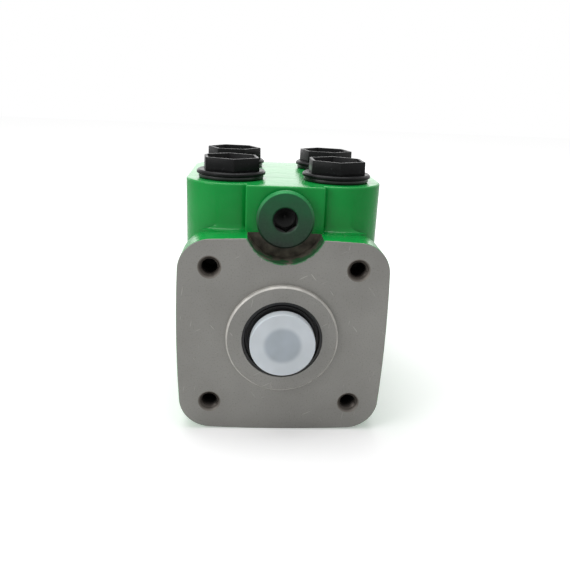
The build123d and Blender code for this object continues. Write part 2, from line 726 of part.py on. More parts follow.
with BuildPart() as cross_pin:
    with BuildSketch(Plane.YZ.offset(-cross_pin_length / 2)):
        with Locations((pin_y, 0)):
            Circle(pin_d / 2)
    extrude(amount=cross_pin_length)
    chamfer(cross_pin.edges().filter_by(GeomType.CIRCLE), length=pin_chamfer)
cross_pin.part.label = "cross_pin"
export_step(cross_pin.part, "parts/cross_pin.step")

# Centring springs: a flat pair in the middle, arched leaves bearing on the slot's walls
leaf_length = sleeve_front_neck_d - 2 * clear_gap

with BuildPart() as centring_springs_flat:
    with BuildSketch(Plane.XZ.offset(-spring_y - spring_width / 2)):
        with Locations((0, spring_leaf_thickness / 2), (0, -spring_leaf_thickness / 2)):
            Rectangle(leaf_length, spring_leaf_thickness - push_gap)
    extrude(amount=spring_width)
centring_springs_flat.part.label = "centring_springs_flat"
export_step(centring_springs_flat.part, "parts/centring_springs_flat.step")

with BuildPart() as centring_springs_arched:
    for side in (-1, 1):
        with BuildSketch(Plane.XZ.offset(-spring_y - spring_width / 2)):
            with BuildLine():
                inner_z = side * (spring_leaf_thickness + push_gap)
                outer_z = inner_z + side * spring_leaf_thickness
                arch_z = side * spring_arch
                ends = leaf_length / 2
                ThreePointArc((-ends, inner_z + arch_z), (0, inner_z), (ends, inner_z + arch_z))
                Line((ends, inner_z + arch_z), (ends, outer_z + arch_z))
                ThreePointArc((ends, outer_z + arch_z), (0, outer_z), (-ends, outer_z + arch_z))
                Line((-ends, outer_z + arch_z), (-ends, inner_z + arch_z))
            make_face()
        extrude(amount=spring_width)
centring_springs_arched.part.label = "centring_springs_arched"
export_step(centring_springs_arched.part, "parts/centring_springs_arched.step")

with BuildPart() as spring_ring:
    with BuildSketch(Plane.YZ):
        band(spring_front_y, spring_rear_y - push_gap, sleeve_front_neck_d / 2 + push_gap,
             sleeve_front_neck_d / 2 + spring_ring_wall)
    revolve(axis=Axis.Y)
spring_ring.part.label = "spring_ring"
export_step(spring_ring.part, "parts/spring_ring.step")

# ---------------------------------------------------------------- input cap
# Thin plastic cup pushed over the shaft's end
with BuildPart() as input_cap:
    with BuildSketch(Plane.YZ):
        band(spool_nose_y - cap_wall, spool_nose_y - cap_wall + cap_skirt, 0, cap_d / 2)
    revolve(axis=Axis.Y)
    fillet(input_cap.faces().sort_by(Axis.Y)[0].edges(), radius=cap_edge_r)
    with BuildSketch(Plane.YZ):
        band(spool_nose_y, spool_nose_y + cap_skirt, 0, spool_neck_d / 2 + push_gap)
    revolve(axis=Axis.Y, mode=Mode.SUBTRACT)
input_cap.part.label = "input_cap"
export_step(input_cap.part, "parts/input_cap.step")

# ---------------------------------------------------------------- distributor plate
with BuildPart() as distributor_plate:
    with BuildSketch(station(plate_rear_y)):
        Circle(barrel_r)
        Circle(spool_bore_d / 2, mode=Mode.SUBTRACT)
        with Locations(*chamber_places):
            Circle(chamber_hole_d / 2, mode=Mode.SUBTRACT)
        with Locations(*bolt_places):
            Circle(cover_bolt_hole_d / 2, mode=Mode.SUBTRACT)
    extrude(amount=plate_thickness)
    with BuildSketch(Plane.YZ):
        band(plate_rear_y - o_ring_groove_depth, plate_rear_y + 1,
             o_ring_r - o_ring_groove_width / 2, o_ring_r + o_ring_groove_width / 2)
    revolve(axis=Axis.Y, mode=Mode.SUBTRACT)
distributor_plate.part.label = "distributor_plate"
export_step(distributor_plate.part, "parts/distributor_plate.step")

# ---------------------------------------------------------------- gear set
# The ring's lobes are arcs, and the rotor is the curve they roll out: a point on the
# lobe circle seen from the rotor, moved in by the lobe's radius.
with BuildPart() as gear_ring:
    with BuildSketch(station(gear_rear_y)):
        Circle(barrel_r)
        Circle(cavity_r, mode=Mode.SUBTRACT)
        with Locations(*round_places(lobe_circle_r, lobe_angles)):
            Circle(lobe_r)
        with Locations(*bolt_places):
            Circle(cover_bolt_hole_d / 2, mode=Mode.SUBTRACT)
    extrude(amount=gear_width)
gear_ring.part.label = "gear_ring"
export_step(gear_ring.part, "parts/gear_ring.step")


def rotor_point(turn):
    """A point of the rotor's outline about its own centre, with a valley straight down."""
    roll_x = lobe_circle_r * cos(turn) - eccentricity * cos(ring_lobes * turn)
    roll_z = lobe_circle_r * sin(turn) - eccentricity * sin(ring_lobes * turn)
    normal_x = lobe_circle_r * cos(turn) - ring_lobes * eccentricity * cos(ring_lobes * turn)
    normal_z = lobe_circle_r * sin(turn) - ring_lobes * eccentricity * sin(ring_lobes * turn)
    inset = (lobe_r + lobe_gap) / sqrt(normal_x**2 + normal_z**2)
    x = roll_x - inset * normal_x
    z = roll_z - inset * normal_z
    return (z, -x)


rotor_step = 2 * pi / (rotor_teeth * points_per_tooth)

with BuildPart() as gear_rotor:
    with BuildSketch(station(gear_rear_y - face_gap, -eccentricity)):
        with BuildLine():
            Spline(*[rotor_point(k * rotor_step) for k in range(rotor_teeth * points_per_tooth)],
                   periodic=True)
        make_face()
        Circle(rotor_spline_tip_d / 2, mode=Mode.SUBTRACT)
        with PolarLocations(0, cardan_spline_teeth):
            with Locations((rotor_spline_root_d / 4, 0)):
                Rectangle(rotor_spline_root_d / 2, rotor_space_width, mode=Mode.SUBTRACT)
    extrude(amount=gear_width - 2 * face_gap)
gear_rotor.part.label = "gear_rotor"
export_step(gear_rotor.part, "parts/gear_rotor.step")

# ---------------------------------------------------------------- cardan shaft
# It tilts from the cross pin down to the rotor's centre.
cardan_axis = Vector(0, rotor_centre_y - pin_y, -eccentricity).normalized()
cardan_length = sqrt((rotor_centre_y - pin_y) ** 2 + eccentricity**2)


def cardan_plane(distance):
    """The plane across the cardan shaft at a distance behind the cross pin's centre."""
    return Plane(origin=Vector(0, pin_y, 0) + cardan_axis * distance, x_dir=(1, 0, 0), z_dir=cardan_axis)


with BuildPart() as cardan_shaft:
    with BuildSketch(cardan_plane(-fork_reach)):
        Circle(cardan_fork_d / 2)
    extrude(amount=2 * fork_reach + cardan_fork_root)
    chamfer(cardan_shaft.edges(), length=cardan_fork_chamfer)
    with BuildSketch(cardan_plane(0)):
        Circle(cardan_shank_d / 2)
    extrude(amount=cardan_length)
    # Crowned spline: each half tapers away from the rotor's middle
    with BuildSketch(cardan_plane(cardan_length)):
        Circle(cardan_spline_root_d / 2)
        with PolarLocations(0, cardan_spline_teeth):
            with Locations((cardan_spline_tip_d / 4, 0)):
                Rectangle(cardan_spline_tip_d / 2, rotor_space_width - 2 * cardan_spline_gap)
    extrude(amount=cardan_spline_length / 2, both=True, taper=cardan_tilt_deg)
    # Fork slot over the cross pin, with room for the tilt in its floor
    with BuildSketch(Plane(origin=(-cardan_fork_d, pin_y, 0), x_dir=cardan_axis, z_dir=(1, 0, 0))):
        with Locations((-fork_reach / 2, 0)):
            Rectangle(fork_reach * 2, pin_d + 2 * fork_gap)
        with Locations((fork_reach / 2, 0)):
            Circle(pin_d / 2 + fork_gap)
    extrude(amount=2 * cardan_fork_d, mode=Mode.SUBTRACT)
cardan_shaft.part.label = "cardan_shaft"
export_step(cardan_shaft.part, "parts/cardan_shaft.step")

with BuildPart() as cardan_spacer:
    with BuildSketch(station(gear_rear_y - clear_gap, -eccentricity)):
        Circle(rotor_spline_tip_d / 2 - clear_gap)
    extrude(amount=spacer_thickness)
    chamfer(cardan_spacer.edges(), length=spacer_chamfer)
cardan_spacer.part.label = "cardan_spacer"
export_step(cardan_spacer.part, "parts/cardan_spacer.step")

# ---------------------------------------------------------------- end cover
with BuildPart() as end_cover:
    with BuildSketch(station(cover_rear_y)):
        Circle(barrel_r)
    extrude(amount=cover_thickness)
    chamfer(end_cover.faces().sort_by(Axis.Y)[-1].edges(), length=cover_edge)
    with BuildSketch(station(cover_rear_y)):
        with Locations(*bolt_places):
            Circle(cover_washer_d / 2 + cover_spotface_margin)
    extrude(amount=cover_spotface_depth, mode=Mode.SUBTRACT)
    with BuildSketch(station(cover_rear_y)):
        with Locations(*bolt_places):
            Circle(cover_bolt_hole_d / 2)
    extrude(amount=cover_thickness, mode=Mode.SUBTRACT)
    with BuildSketch(Plane.YZ):
        band(gear_rear_y - 1, gear_rear_y + o_ring_groove_depth,
             o_ring_r - o_ring_groove_width / 2, o_ring_r + o_ring_groove_width / 2)
    revolve(axis=Axis.Y, mode=Mode.SUBTRACT)
end_cover.part.label = "end_cover"
export_step(end_cover.part, "parts/end_cover.step")

# Static seals, squeezed flush with their grooves
o_ring_rears = {
    "o_ring_housing": housing_length,
    "o_ring_plate": plate_rear_y,
    "o_ring_cover": gear_rear_y + o_ring_groove_depth,
}
for name in o_ring_rears:
    with BuildPart() as o_ring:
        with BuildSketch(Plane.YZ):
            with Locations((o_ring_rears[name] - o_ring_groove_depth / 2, o_ring_r)):
                RectangleRounded(o_ring_groove_depth - push_gap, o_ring_section_d, o_ring_corner_r)
        revolve(axis=Axis.Y)
    o_ring.part.label = name
    export_step(o_ring.part, "parts/" + name + ".step")

# ---------------------------------------------------------------- cover bolts
head_front_y = cover_rear_y - cover_spotface_depth + cover_washer_thickness
thread_front_y = housing_length - cover_bolt_engagement
bolt_sets = {"cover_bolts": bolt_places[1:], "pin_bolt": bolt_places[:1]}
for name in bolt_sets:
    with BuildPart() as bolts:
        with BuildSketch(station(head_front_y + cover_bolt_head_height)):
            with Locations(*bolt_sets[name]):
                RegularPolygon(cover_bolt_head_af / 2, 6, major_radius=False,
                               rotation=cover_bolt_turn_deg)
        extrude(amount=cover_bolt_head_height)
        with BuildSketch(station(head_front_y + 1)):
            with Locations(*bolt_sets[name]):
                Circle(cover_bolt_d / 2)
        extrude(amount=head_front_y + 1 - housing_length - clear_gap)
        with BuildSketch(station(housing_length + 1)):
            with Locations(*bolt_sets[name]):
                Circle(cover_bolt_bore_d / 2 - push_gap)
        extrude(amount=cover_bolt_engagement + 1)
        if name == "pin_bolt":
            with BuildSketch(station(thread_front_y + 1)):
                with Locations(*bolt_sets[name]):
                    Circle(pin_bolt_nose_d / 2)
            extrude(amount=pin_bolt_nose_length + 1)
    bolts.part.label = name
    export_step(bolts.part, "parts/" + name + ".step")

with BuildPart() as cover_washers:
    with BuildSketch(station(head_front_y)):
        with Locations(*bolt_places):
            Circle(cover_washer_d / 2)
            Circle(cover_bolt_hole_d / 2, mode=Mode.SUBTRACT)
    extrude(amount=cover_washer_thickness)
cover_washers.part.label = "cover_washers"
export_step(cover_washers.part, "parts/cover_washers.step")

# ---------------------------------------------------------------- port plugs and their seals
collar_z = port_face_z + plug_seal_thickness
hex_z = collar_z + plug_collar_thickness
for name in port_places:
    with BuildPart() as port_plug:
        with BuildSketch(Plane.XY.offset(collar_z)):
            with Locations(port_places[name]):
                Circle(plug_collar_d / 2)
        extrude(amount=plug_collar_thickness)
        chamfer(port_plug.edges(), length=plug_collar_edge)
        with BuildSketch(Plane.XY.offset(hex_z - 1)):
            with Locations(port_places[name]):
                RegularPolygon(plug_hex_af / 2, 6, major_radius=False, rotation=plug_turns_deg[name])
        extrude(amount=plug_hex_height + 1)
        with BuildSketch(Plane.XY.offset(port_face_z - plug_shank_length)):
            with Locations(port_places[name]):
                Circle(plug_shank_d / 2)
        extrude(amount=plug_shank_length + plug_seal_thickness + 1)
        with BuildSketch(Plane.XY.offset(hex_z - plug_wall)):
            with Locations(port_places[name]):
                RegularPolygon(plug_hex_af / 2 - plug_wall, 6, major_radius=False,
                               rotation=plug_turns_deg[name])
        extrude(amount=plug_hex_height + 2 * plug_wall, mode=Mode.SUBTRACT)
        with BuildSketch(Plane.XY.offset(port_face_z - plug_shank_length + plug_wall)):
            with Locations(port_places[name]):
                Circle(plug_shank_d / 2 - plug_shank_wall)
        extrude(amount=plug_shank_length + plug_seal_thickness + plug_collar_thickness,
                mode=Mode.SUBTRACT)
    port_plug.part.label = "port_plug_" + name
    export_step(port_plug.part, "parts/port_plug_" + name + ".step")

    with BuildPart() as port_plug_seal:
        with BuildSketch(Plane.XY.offset(port_face_z)):
            with Locations(port_places[name]):
                Circle(plug_seal_d / 2)
                Circle(plug_shank_d / 2 + push_gap, mode=Mode.SUBTRACT)
        extrude(amount=plug_seal_thickness)
        rims = port_plug_seal.edges().filter_by(GeomType.CIRCLE)
        fillet(rims.filter_by(lambda e: e.radius > plug_shank_d / 2 + 1), radius=plug_seal_edge_r)
    port_plug_seal.part.label = "port_plug_seal_" + name
    export_step(port_plug_seal.part, "parts/port_plug_seal_" + name + ".step")
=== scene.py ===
# %% [markdown]
# # An orbital steering unit, painted and fitted out
#
# The pieces that carry load already exist as solids. This lesson gives each one its real
# finish, and makes again those whose small shapes matter up close: the foot of the front
# lobes, the plastic port plugs, the relief valve's plug, the shaft's cap and wiper, the
# threads, the bolts and washers, and the edges of the gear set.

# %% Load the frame that every piece is built around
import json
import math
from functools import partial

import bmesh
import bpy
from mathutils import Matrix, Vector


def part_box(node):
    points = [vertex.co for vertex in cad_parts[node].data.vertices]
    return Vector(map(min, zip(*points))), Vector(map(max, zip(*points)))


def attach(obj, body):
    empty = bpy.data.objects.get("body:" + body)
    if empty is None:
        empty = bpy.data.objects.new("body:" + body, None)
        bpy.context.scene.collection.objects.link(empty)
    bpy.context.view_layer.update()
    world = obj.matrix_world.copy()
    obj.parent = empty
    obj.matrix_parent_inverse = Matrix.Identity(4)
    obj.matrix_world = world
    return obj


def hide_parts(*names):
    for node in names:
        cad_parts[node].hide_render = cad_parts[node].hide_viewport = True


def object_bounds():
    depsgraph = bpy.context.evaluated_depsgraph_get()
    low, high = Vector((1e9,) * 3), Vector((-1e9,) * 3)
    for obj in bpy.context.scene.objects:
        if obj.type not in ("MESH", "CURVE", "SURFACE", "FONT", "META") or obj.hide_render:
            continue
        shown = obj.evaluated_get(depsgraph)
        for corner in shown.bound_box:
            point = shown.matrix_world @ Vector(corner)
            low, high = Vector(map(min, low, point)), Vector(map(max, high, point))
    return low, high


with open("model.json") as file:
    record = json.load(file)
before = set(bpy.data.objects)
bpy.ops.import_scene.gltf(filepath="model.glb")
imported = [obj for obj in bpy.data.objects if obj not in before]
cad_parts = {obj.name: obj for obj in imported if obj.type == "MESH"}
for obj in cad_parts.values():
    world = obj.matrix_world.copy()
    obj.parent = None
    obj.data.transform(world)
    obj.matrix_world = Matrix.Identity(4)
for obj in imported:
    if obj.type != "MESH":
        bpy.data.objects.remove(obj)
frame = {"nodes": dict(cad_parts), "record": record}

solid_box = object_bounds()
MM = 0.001
nodes = frame["nodes"]

# %% [markdown]
# ## Helpers for finishes
#
# Colours are written as a painter's hex values, which are for the eye. The renderer works
# with amounts of light, so one function turns a hex value into those. One more function
# adds a node: its settings by name, and its sockets as a table. A socket takes a value, an
# output, or another node, which stands for the first output that it has in use.


# %% Colour and node helpers
def linear(hex_colour):
    """An sRGB hex colour as linear red, green, blue and alpha."""
    channels = [int(hex_colour[k:k + 2], 16) / 255 for k in (1, 3, 5)]
    low = [c / 12.92 for c in channels]
    high = [((c + 0.055) / 1.055) ** 2.4 for c in channels]
    return tuple(b if c > 0.04045 else a for c, a, b in zip(channels, low, high)) + (1.0,)


def add(tree, kind, sockets, stops=(), **settings):
    """Add one node with its settings, its sockets' values and links, and a ramp's stops."""
    node = tree.nodes.new(kind)
    for name, value in settings.items():
        setattr(node, name, value)
    for key, value in sockets.items():
        if isinstance(value, bpy.types.Node):
            value = next(output for output in value.outputs if output.enabled)
        if isinstance(value, bpy.types.NodeSocket):
            tree.links.new(value, node.inputs[key])
        else:
            node.inputs[key].default_value = value
    for number, (position, colour) in enumerate(stops):
        elements = node.color_ramp.elements
        element = elements[number] if number < 2 else elements.new(position)
        element.position = position
        element.color = linear(colour)
    return node


def begin(name):
    """A new empty material, the function that adds to it, and where each point is."""
    material = bpy.data.materials.new(name)
    material.use_nodes = True
    material.node_tree.nodes.clear()
    put = partial(add, material.node_tree)
    return material, put, put("ShaderNodeTexCoord", {}).outputs["Object"]


def close(put, sockets):
    """The surface shader with its values and links, and the material's output."""
    shader = put("ShaderNodeBsdfPrincipled", sockets)
    put("ShaderNodeOutputMaterial", {"Surface": shader})


# %% [markdown]
# ## Bare machined iron
#
# The flange's face was milled after casting and then phosphated, which leaves an even warm
# grey with a dull sheen. Slow clouds come from the phosphate, fine grain from the iron, and
# handling adds short pale scratches: noise stretched a long way along one direction and cut
# off high, so that only its thin crests show. The true grain of iron is too fine to see
# here, so it is drawn at about a millimetre.


# %% Machined iron
def machined_iron(put, place):
    """Colour and roughness of phosphated, milled iron with scratches, and its fine grain."""
    cloud = put("ShaderNodeTexNoise", {"Vector": place, "Scale": 1 / (34 * MM), "Detail": 3.0})
    colour = put("ShaderNodeValToRGB", {0: cloud}, [(0.36, "#8E8D89"), (0.66, "#969591")])
    grain = put("ShaderNodeTexNoise", {"Vector": place, "Scale": 1 / (0.9 * MM), "Detail": 4.0,
                                       "Roughness": 0.7})
    speck = put("ShaderNodeValToRGB", {0: grain}, [(0.30, "#77736D"), (0.46, "#FFFFFF")])
    colour = put("ShaderNodeMix", {0: 0.35, 6: colour, 7: speck}, data_type="RGBA",
                 blend_type="MULTIPLY")
    for turn, along in ((0.5, 0.05), (-0.9, 0.07), (1.4, 0.06)):
        turned_place = put("ShaderNodeMapping", {
            "Vector": place, "Rotation": (0, turn, 0), "Location": (turn, 0, turn),
        })
        drawn_out = put("ShaderNodeMapping", {"Vector": turned_place, "Scale": (along, 1, 1)})
        streak = put("ShaderNodeTexNoise", {"Vector": drawn_out, "Scale": 1 / (0.9 * MM),
                                            "Detail": 1.0})
        crest = put("ShaderNodeMapRange", {"Value": streak, "From Min": 0.735, "From Max": 0.775,
                                           "To Max": 0.5})
        colour = put("ShaderNodeMix", {0: crest, 6: colour, 7: linear("#C9C6C0")},
                     data_type="RGBA")
    rough = put("ShaderNodeMapRange", {"Value": grain, "From Min": 0.3, "From Max": 0.8,
                                       "To Min": 0.42, "To Max": 0.58})
    return colour, rough, grain


# %% [markdown]
# ## Green enamel over cast iron
#
# The whole unit was sprayed after it was machined, with the mounting face masked. Sprayed
# enamel is glossy and slightly rippled like orange peel, and the sand-cast iron below adds
# slow waves. It is roughest where the casting was never dressed, at the foot of the port
# block. What is paint and what is bare iron is decided from the place alone: the face ahead
# of the flange's edge is bare, and so are the recess and the threaded holes.

# %% Enamel
PAINT_DEEP = "#0B933D"
PAINT = "#0D9740"
PAINT_THIN = "#109C44"
PAINT_GLOSS = 0.2
PAINT_SHINE = 0.25            # specular level: sprayed alkyd is duller than polished enamel


def enamel(put, place, cast):
    """Colour and relief of sprayed green enamel, over a casting or over turned steel."""
    cloud = put("ShaderNodeTexNoise", {"Vector": place, "Scale": 1 / (26 * MM)})
    colour = put("ShaderNodeValToRGB", {0: cloud},
                 [(0.3, PAINT_DEEP), (0.5, PAINT), (0.7, PAINT_THIN)])
    peel = put("ShaderNodeTexNoise", {"Vector": place, "Scale": 1 / (1.6 * MM), "Detail": 1.5})
    relief = put("ShaderNodeBump", {"Height": peel, "Distance": 0.012 * MM, "Strength": 1.0})
    if cast:
        wave = put("ShaderNodeTexNoise", {"Vector": place, "Scale": 1 / (11 * MM), "Detail": 1.0})
        relief = put("ShaderNodeBump", {"Height": wave, "Distance": 0.2 * MM, "Strength": 1.0,
                                        "Normal": relief})
    return colour, relief


# %% The housing's finish
BARE_EDGE = 0.25 * MM         # where the masking ended, just behind the flange's face
EDGE_WANDER = 0.5 * MM        # how far the masking's edge strays in all
RECESS_Z = 66.3 * MM
RECESS_R = 22.55 * MM
RECESS_FLOOR = 15.2 * MM
BOLT_HALF_PITCH = 41.25 * MM
HOLE_R = 6.6 * MM
HOLE_DEPTH = 23 * MM
HOLE_SHADE_DEPTH = 6 * MM            # by this depth the painted shade in a hole is full
CREPT_WIDTH = 0.6 * MM        # of the line of paint round the recess
FOOT_TOP = 63 * MM
FOOT_FADE = 3 * MM
PILOT_EDGE_R = 31.6 * MM
PILOT_EDGE_HALF = 0.5 * MM
ACROSS = (1, 0, 1)            # keeps the distance from an axis that runs to the rear


def painted_iron():
    """Enamelled cast iron, bare where it was masked or threaded, with painted shade and highlight.
    """
    material, put, place = begin("green_enamel_on_sand_cast_iron")
    paint, relief = enamel(put, place, cast=True)
    bare, bare_rough, grain = machined_iron(put, place)
    axes = put("ShaderNodeSeparateXYZ", {0: place})
    y = axes.outputs["Y"]
    # The masking tape's edge wanders by a quarter of a millimetre each way
    edge = put("ShaderNodeTexNoise", {"Vector": place, "Scale": 1 / (3 * MM), "Detail": 3.0})
    wander = put("ShaderNodeMath", {0: edge, 1: EDGE_WANDER, 2: y}, operation="MULTIPLY_ADD")
    ahead = put("ShaderNodeMath", {0: wander, 1: BARE_EDGE + EDGE_WANDER / 2},
                operation="LESS_THAN")
    # The recess: within a radius of the relief valve's axis, and ahead of its floor
    valve = put("ShaderNodeVectorMath", {0: place, 1: ACROSS, 2: (0, 0, -RECESS_Z)},
                operation="MULTIPLY_ADD")
    recess_r = put("ShaderNodeVectorMath", {0: valve}, operation="LENGTH")
    inside = put("ShaderNodeMath", {0: recess_r, 1: RECESS_R}, operation="LESS_THAN")
    above_floor = put("ShaderNodeMath", {0: y, 1: RECESS_FLOOR}, operation="LESS_THAN")
    in_recess = put("ShaderNodeMath", {0: inside, 1: above_floor}, operation="MULTIPLY")
    # The threaded holes, all four at once by their distance from the nearest one's axis
    quarter = put("ShaderNodeVectorMath", {0: place}, operation="ABSOLUTE")
    corner = (-BOLT_HALF_PITCH, 0, -BOLT_HALF_PITCH)
    hole = put("ShaderNodeVectorMath", {0: quarter, 1: ACROSS, 2: corner},
               operation="MULTIPLY_ADD")
    hole_r = put("ShaderNodeVectorMath", {0: hole}, operation="LENGTH")
    inside = put("ShaderNodeMath", {0: hole_r, 1: HOLE_R}, operation="LESS_THAN")
    above_floor = put("ShaderNodeMath", {0: y, 1: HOLE_DEPTH}, operation="LESS_THAN")
    in_hole = put("ShaderNodeMath", {0: inside, 1: above_floor}, operation="MULTIPLY")
    # Painted shade: the holes' walls darken with depth into them
    hole_shade = put("ShaderNodeMapRange", {"Value": y, "From Min": 0.0, "From Max": HOLE_SHADE_DEPTH})
    hole_shade = put("ShaderNodeValToRGB", {0: hole_shade},
                 [(0.0, "#7D7872"), (0.2, "#4B4641"), (1.0, "#191614")])
    # Painted shade darkens the recess; overspray drifted in, most near the mouth, little on the
    # floor
    drift = put("ShaderNodeTexNoise", {"Vector": place, "Scale": 1 / (5 * MM), "Detail": 3.0})
    recess_floor_shade = put("ShaderNodeValToRGB", {0: drift}, [(0.3, "#39352E"), (0.7, "#6A655A")])
    reach = put("ShaderNodeMapRange", {"Value": y, "From Min": 0.0, "From Max": RECESS_FLOOR,
                                       "To Min": 0.62, "To Max": 0.28})
    misted = put("ShaderNodeMath", {0: drift, 1: reach}, operation="LESS_THAN")
    misted = put("ShaderNodeMath", {0: misted, 1: 0.8}, operation="MULTIPLY")
    recess_shade_and_mist = put("ShaderNodeMix", {0: misted, 6: recess_floor_shade, 7: linear("#1A5A33")},
                      data_type="RGBA")
    # A thin line of paint crept onto the face round the recess
    crept = put("ShaderNodeMath", {0: recess_r, 1: RECESS_R + CREPT_WIDTH},
                operation="LESS_THAN")
    patchy = put("ShaderNodeMapRange", {"Value": edge, "From Min": 0.36, "From Max": 0.52,
                                        "To Max": 0.8})
    crept = put("ShaderNodeMath", {0: crept, 1: patchy}, operation="MULTIPLY")
    face = put("ShaderNodeMix", {0: crept, 6: bare, 7: linear("#1F7D43")}, data_type="RGBA")
    # The pilot boss's edge is drawn bright: a painted highlight, and wear from flanges pushed onto
    # it
    shaft = put("ShaderNodeVectorMath", {0: place, 1: ACROSS}, operation="MULTIPLY")
    shaft_r = put("ShaderNodeVectorMath", {0: shaft}, operation="LENGTH")
    worn_and_highlit_edge = put("ShaderNodeMath", {0: shaft_r, 1: PILOT_EDGE_R, 2: PILOT_EDGE_HALF},
                 operation="COMPARE")
    worn_and_highlit_edge = put("ShaderNodeMath", {0: worn_and_highlit_edge, 1: drift}, operation="MULTIPLY")
    face = put("ShaderNodeMix", {0: worn_and_highlit_edge, 6: face, 7: linear("#E2DFD9")}, data_type="RGBA")
    colour = put("ShaderNodeMix", {0: ahead, 6: paint, 7: face}, data_type="RGBA")
    colour = put("ShaderNodeMix", {0: in_recess, 6: colour, 7: recess_shade_and_mist}, data_type="RGBA")
    colour = put("ShaderNodeMix", {0: in_hole, 6: colour, 7: hole_shade}, data_type="RGBA")
    bare_part = put("ShaderNodeMath", {0: ahead, 1: in_recess}, operation="MAXIMUM")
    bare_part = put("ShaderNodeMath", {0: bare_part, 1: in_hole}, operation="MAXIMUM")
    rough = put("ShaderNodeMix", {0: bare_part, 2: PAINT_GLOSS, 3: bare_rough})
    metal = put("ShaderNodeMath", {0: bare_part, 1: 0.35}, operation="MULTIPLY")
    # Undressed casting skin at the block's foot
    z = axes.outputs["Z"]
    foot = put("ShaderNodeMapRange", {"Value": z, "From Min": FOOT_TOP,
                                      "From Max": FOOT_TOP - FOOT_FADE})
    skin = put("ShaderNodeTexNoise", {"Vector": place, "Scale": 1 / (2.2 * MM), "Detail": 2.0})
    skin = put("ShaderNodeMath", {0: skin, 1: foot}, operation="MULTIPLY")
    relief = put("ShaderNodeBump", {"Height": skin, "Distance": 0.09 * MM, "Strength": 1.0,
                                    "Normal": relief})
    flat = put("ShaderNodeBump", {"Height": grain, "Distance": 0.02 * MM, "Strength": 1.0})
    normal = put("ShaderNodeMix", {0: bare_part, 4: relief, 5: flat}, data_type="VECTOR")
    close(put, {"Base Color": colour, "Roughness": rough, "Metallic": metal, "Normal": normal,
                "Specular IOR Level": PAINT_SHINE})
    return material


def painted_steel():
    """The same enamel over turned steel: no casting waves."""
    material, put, place = begin("green_enamel_on_turned_steel")
    paint, relief = enamel(put, place, cast=False)
    close(put, {"Base Color": paint, "Roughness": PAINT_GLOSS, "Normal": relief,
                "Specular IOR Level": PAINT_SHINE})
    return material


# %% [markdown]
# ## Steel, rubber and plastics
#
# Phosphated steel is almost black and soaks up light. The relief valve's plug was fitted
# before the spraying, so green mist lies on its upper half. Nitrile rubber and the black
# polyethylene plugs differ in gloss. The shaft's cap is thin natural polyethylene: it lets
# light in, and looks darker where there is a hole behind it instead of steel.


# %% Finishes of the relief valve's plug and of the bare threads
SOCKET_MOUTH = (6.7 * MM, 7.2 * MM)    # radii: painted shade inside the first, steel past the second
RIM_BAND = (1.5 * MM, 1.1 * MM)        # how far in from the rim its paint begins and is full
THREAD_SHADE_DEPTH = 8 * MM          # by this depth the painted shade in a thread's hole is full
STEEL_SHINE = 0.3             # specular level under the mist


def misted_phosphate(centre_z, radius):
    """Black phosphated steel, green mist on its upper half and edge; painted highlight and shade.
    """
    material, put, place = begin("phosphated_steel_under_paint_mist")
    z = put("ShaderNodeSeparateXYZ", {0: place}).outputs["Z"]
    height = put("ShaderNodeMapRange", {"Value": z, "From Min": centre_z - radius,
                                        "From Max": centre_z + radius, "To Min": -0.12,
                                        "To Max": 0.62})
    drift = put("ShaderNodeTexNoise", {"Vector": place, "Scale": 1 / (7 * MM), "Detail": 2.0})
    mist = put("ShaderNodeMath", {0: drift, 1: 0.35, 2: height}, operation="MULTIPLY_ADD",
               use_clamp=True)
    grain = put("ShaderNodeTexNoise", {"Vector": place, "Scale": 1 / (1.2 * MM), "Detail": 3.0})
    steel = put("ShaderNodeValToRGB", {0: grain}, [(0.3, "#262A28"), (0.7, "#323734")])
    # The socket lies along the axis, out of the spray's reach; it is painted near black as painted
    # shade
    valve = put("ShaderNodeVectorMath", {0: place, 1: ACROSS, 2: (0, 0, -centre_z)},
                operation="MULTIPLY_ADD")
    axis_r = put("ShaderNodeVectorMath", {0: valve}, operation="LENGTH")
    open_air = put("ShaderNodeMapRange", {"Value": axis_r, "From Min": SOCKET_MOUTH[0],
                                          "From Max": SOCKET_MOUTH[1]})
    steel = put("ShaderNodeMix", {0: open_air, 6: linear("#0A0B0A"), 7: steel}, data_type="RGBA")
    mist = put("ShaderNodeMath", {0: mist, 1: open_air}, operation="MULTIPLY")
    # The rim's upper half stood out into the spray and is green all over, drawn brighter upward as
    # a painted highlight
    rim = put("ShaderNodeMapRange", {"Value": axis_r, "From Min": radius - RIM_BAND[0],
                                     "From Max": radius - RIM_BAND[1]})
    rim = put("ShaderNodeMath", {0: rim, 1: height}, operation="MULTIPLY", use_clamp=True)
    mist = put("ShaderNodeMath", {0: mist, 1: rim}, operation="MAXIMUM")
    paint = put("ShaderNodeMix", {0: rim, 6: linear("#12663A"), 7: linear("#25B45C")},
                data_type="RGBA")
    colour = put("ShaderNodeMix", {0: mist, 6: steel, 7: paint}, data_type="RGBA")
    relief = put("ShaderNodeBump", {"Height": grain, "Distance": 0.012 * MM, "Strength": 1.0})
    close(put, {"Base Color": colour, "Roughness": 0.4, "Metallic": 0.15, "Normal": relief,
                "Specular IOR Level": STEEL_SHINE})
    return material


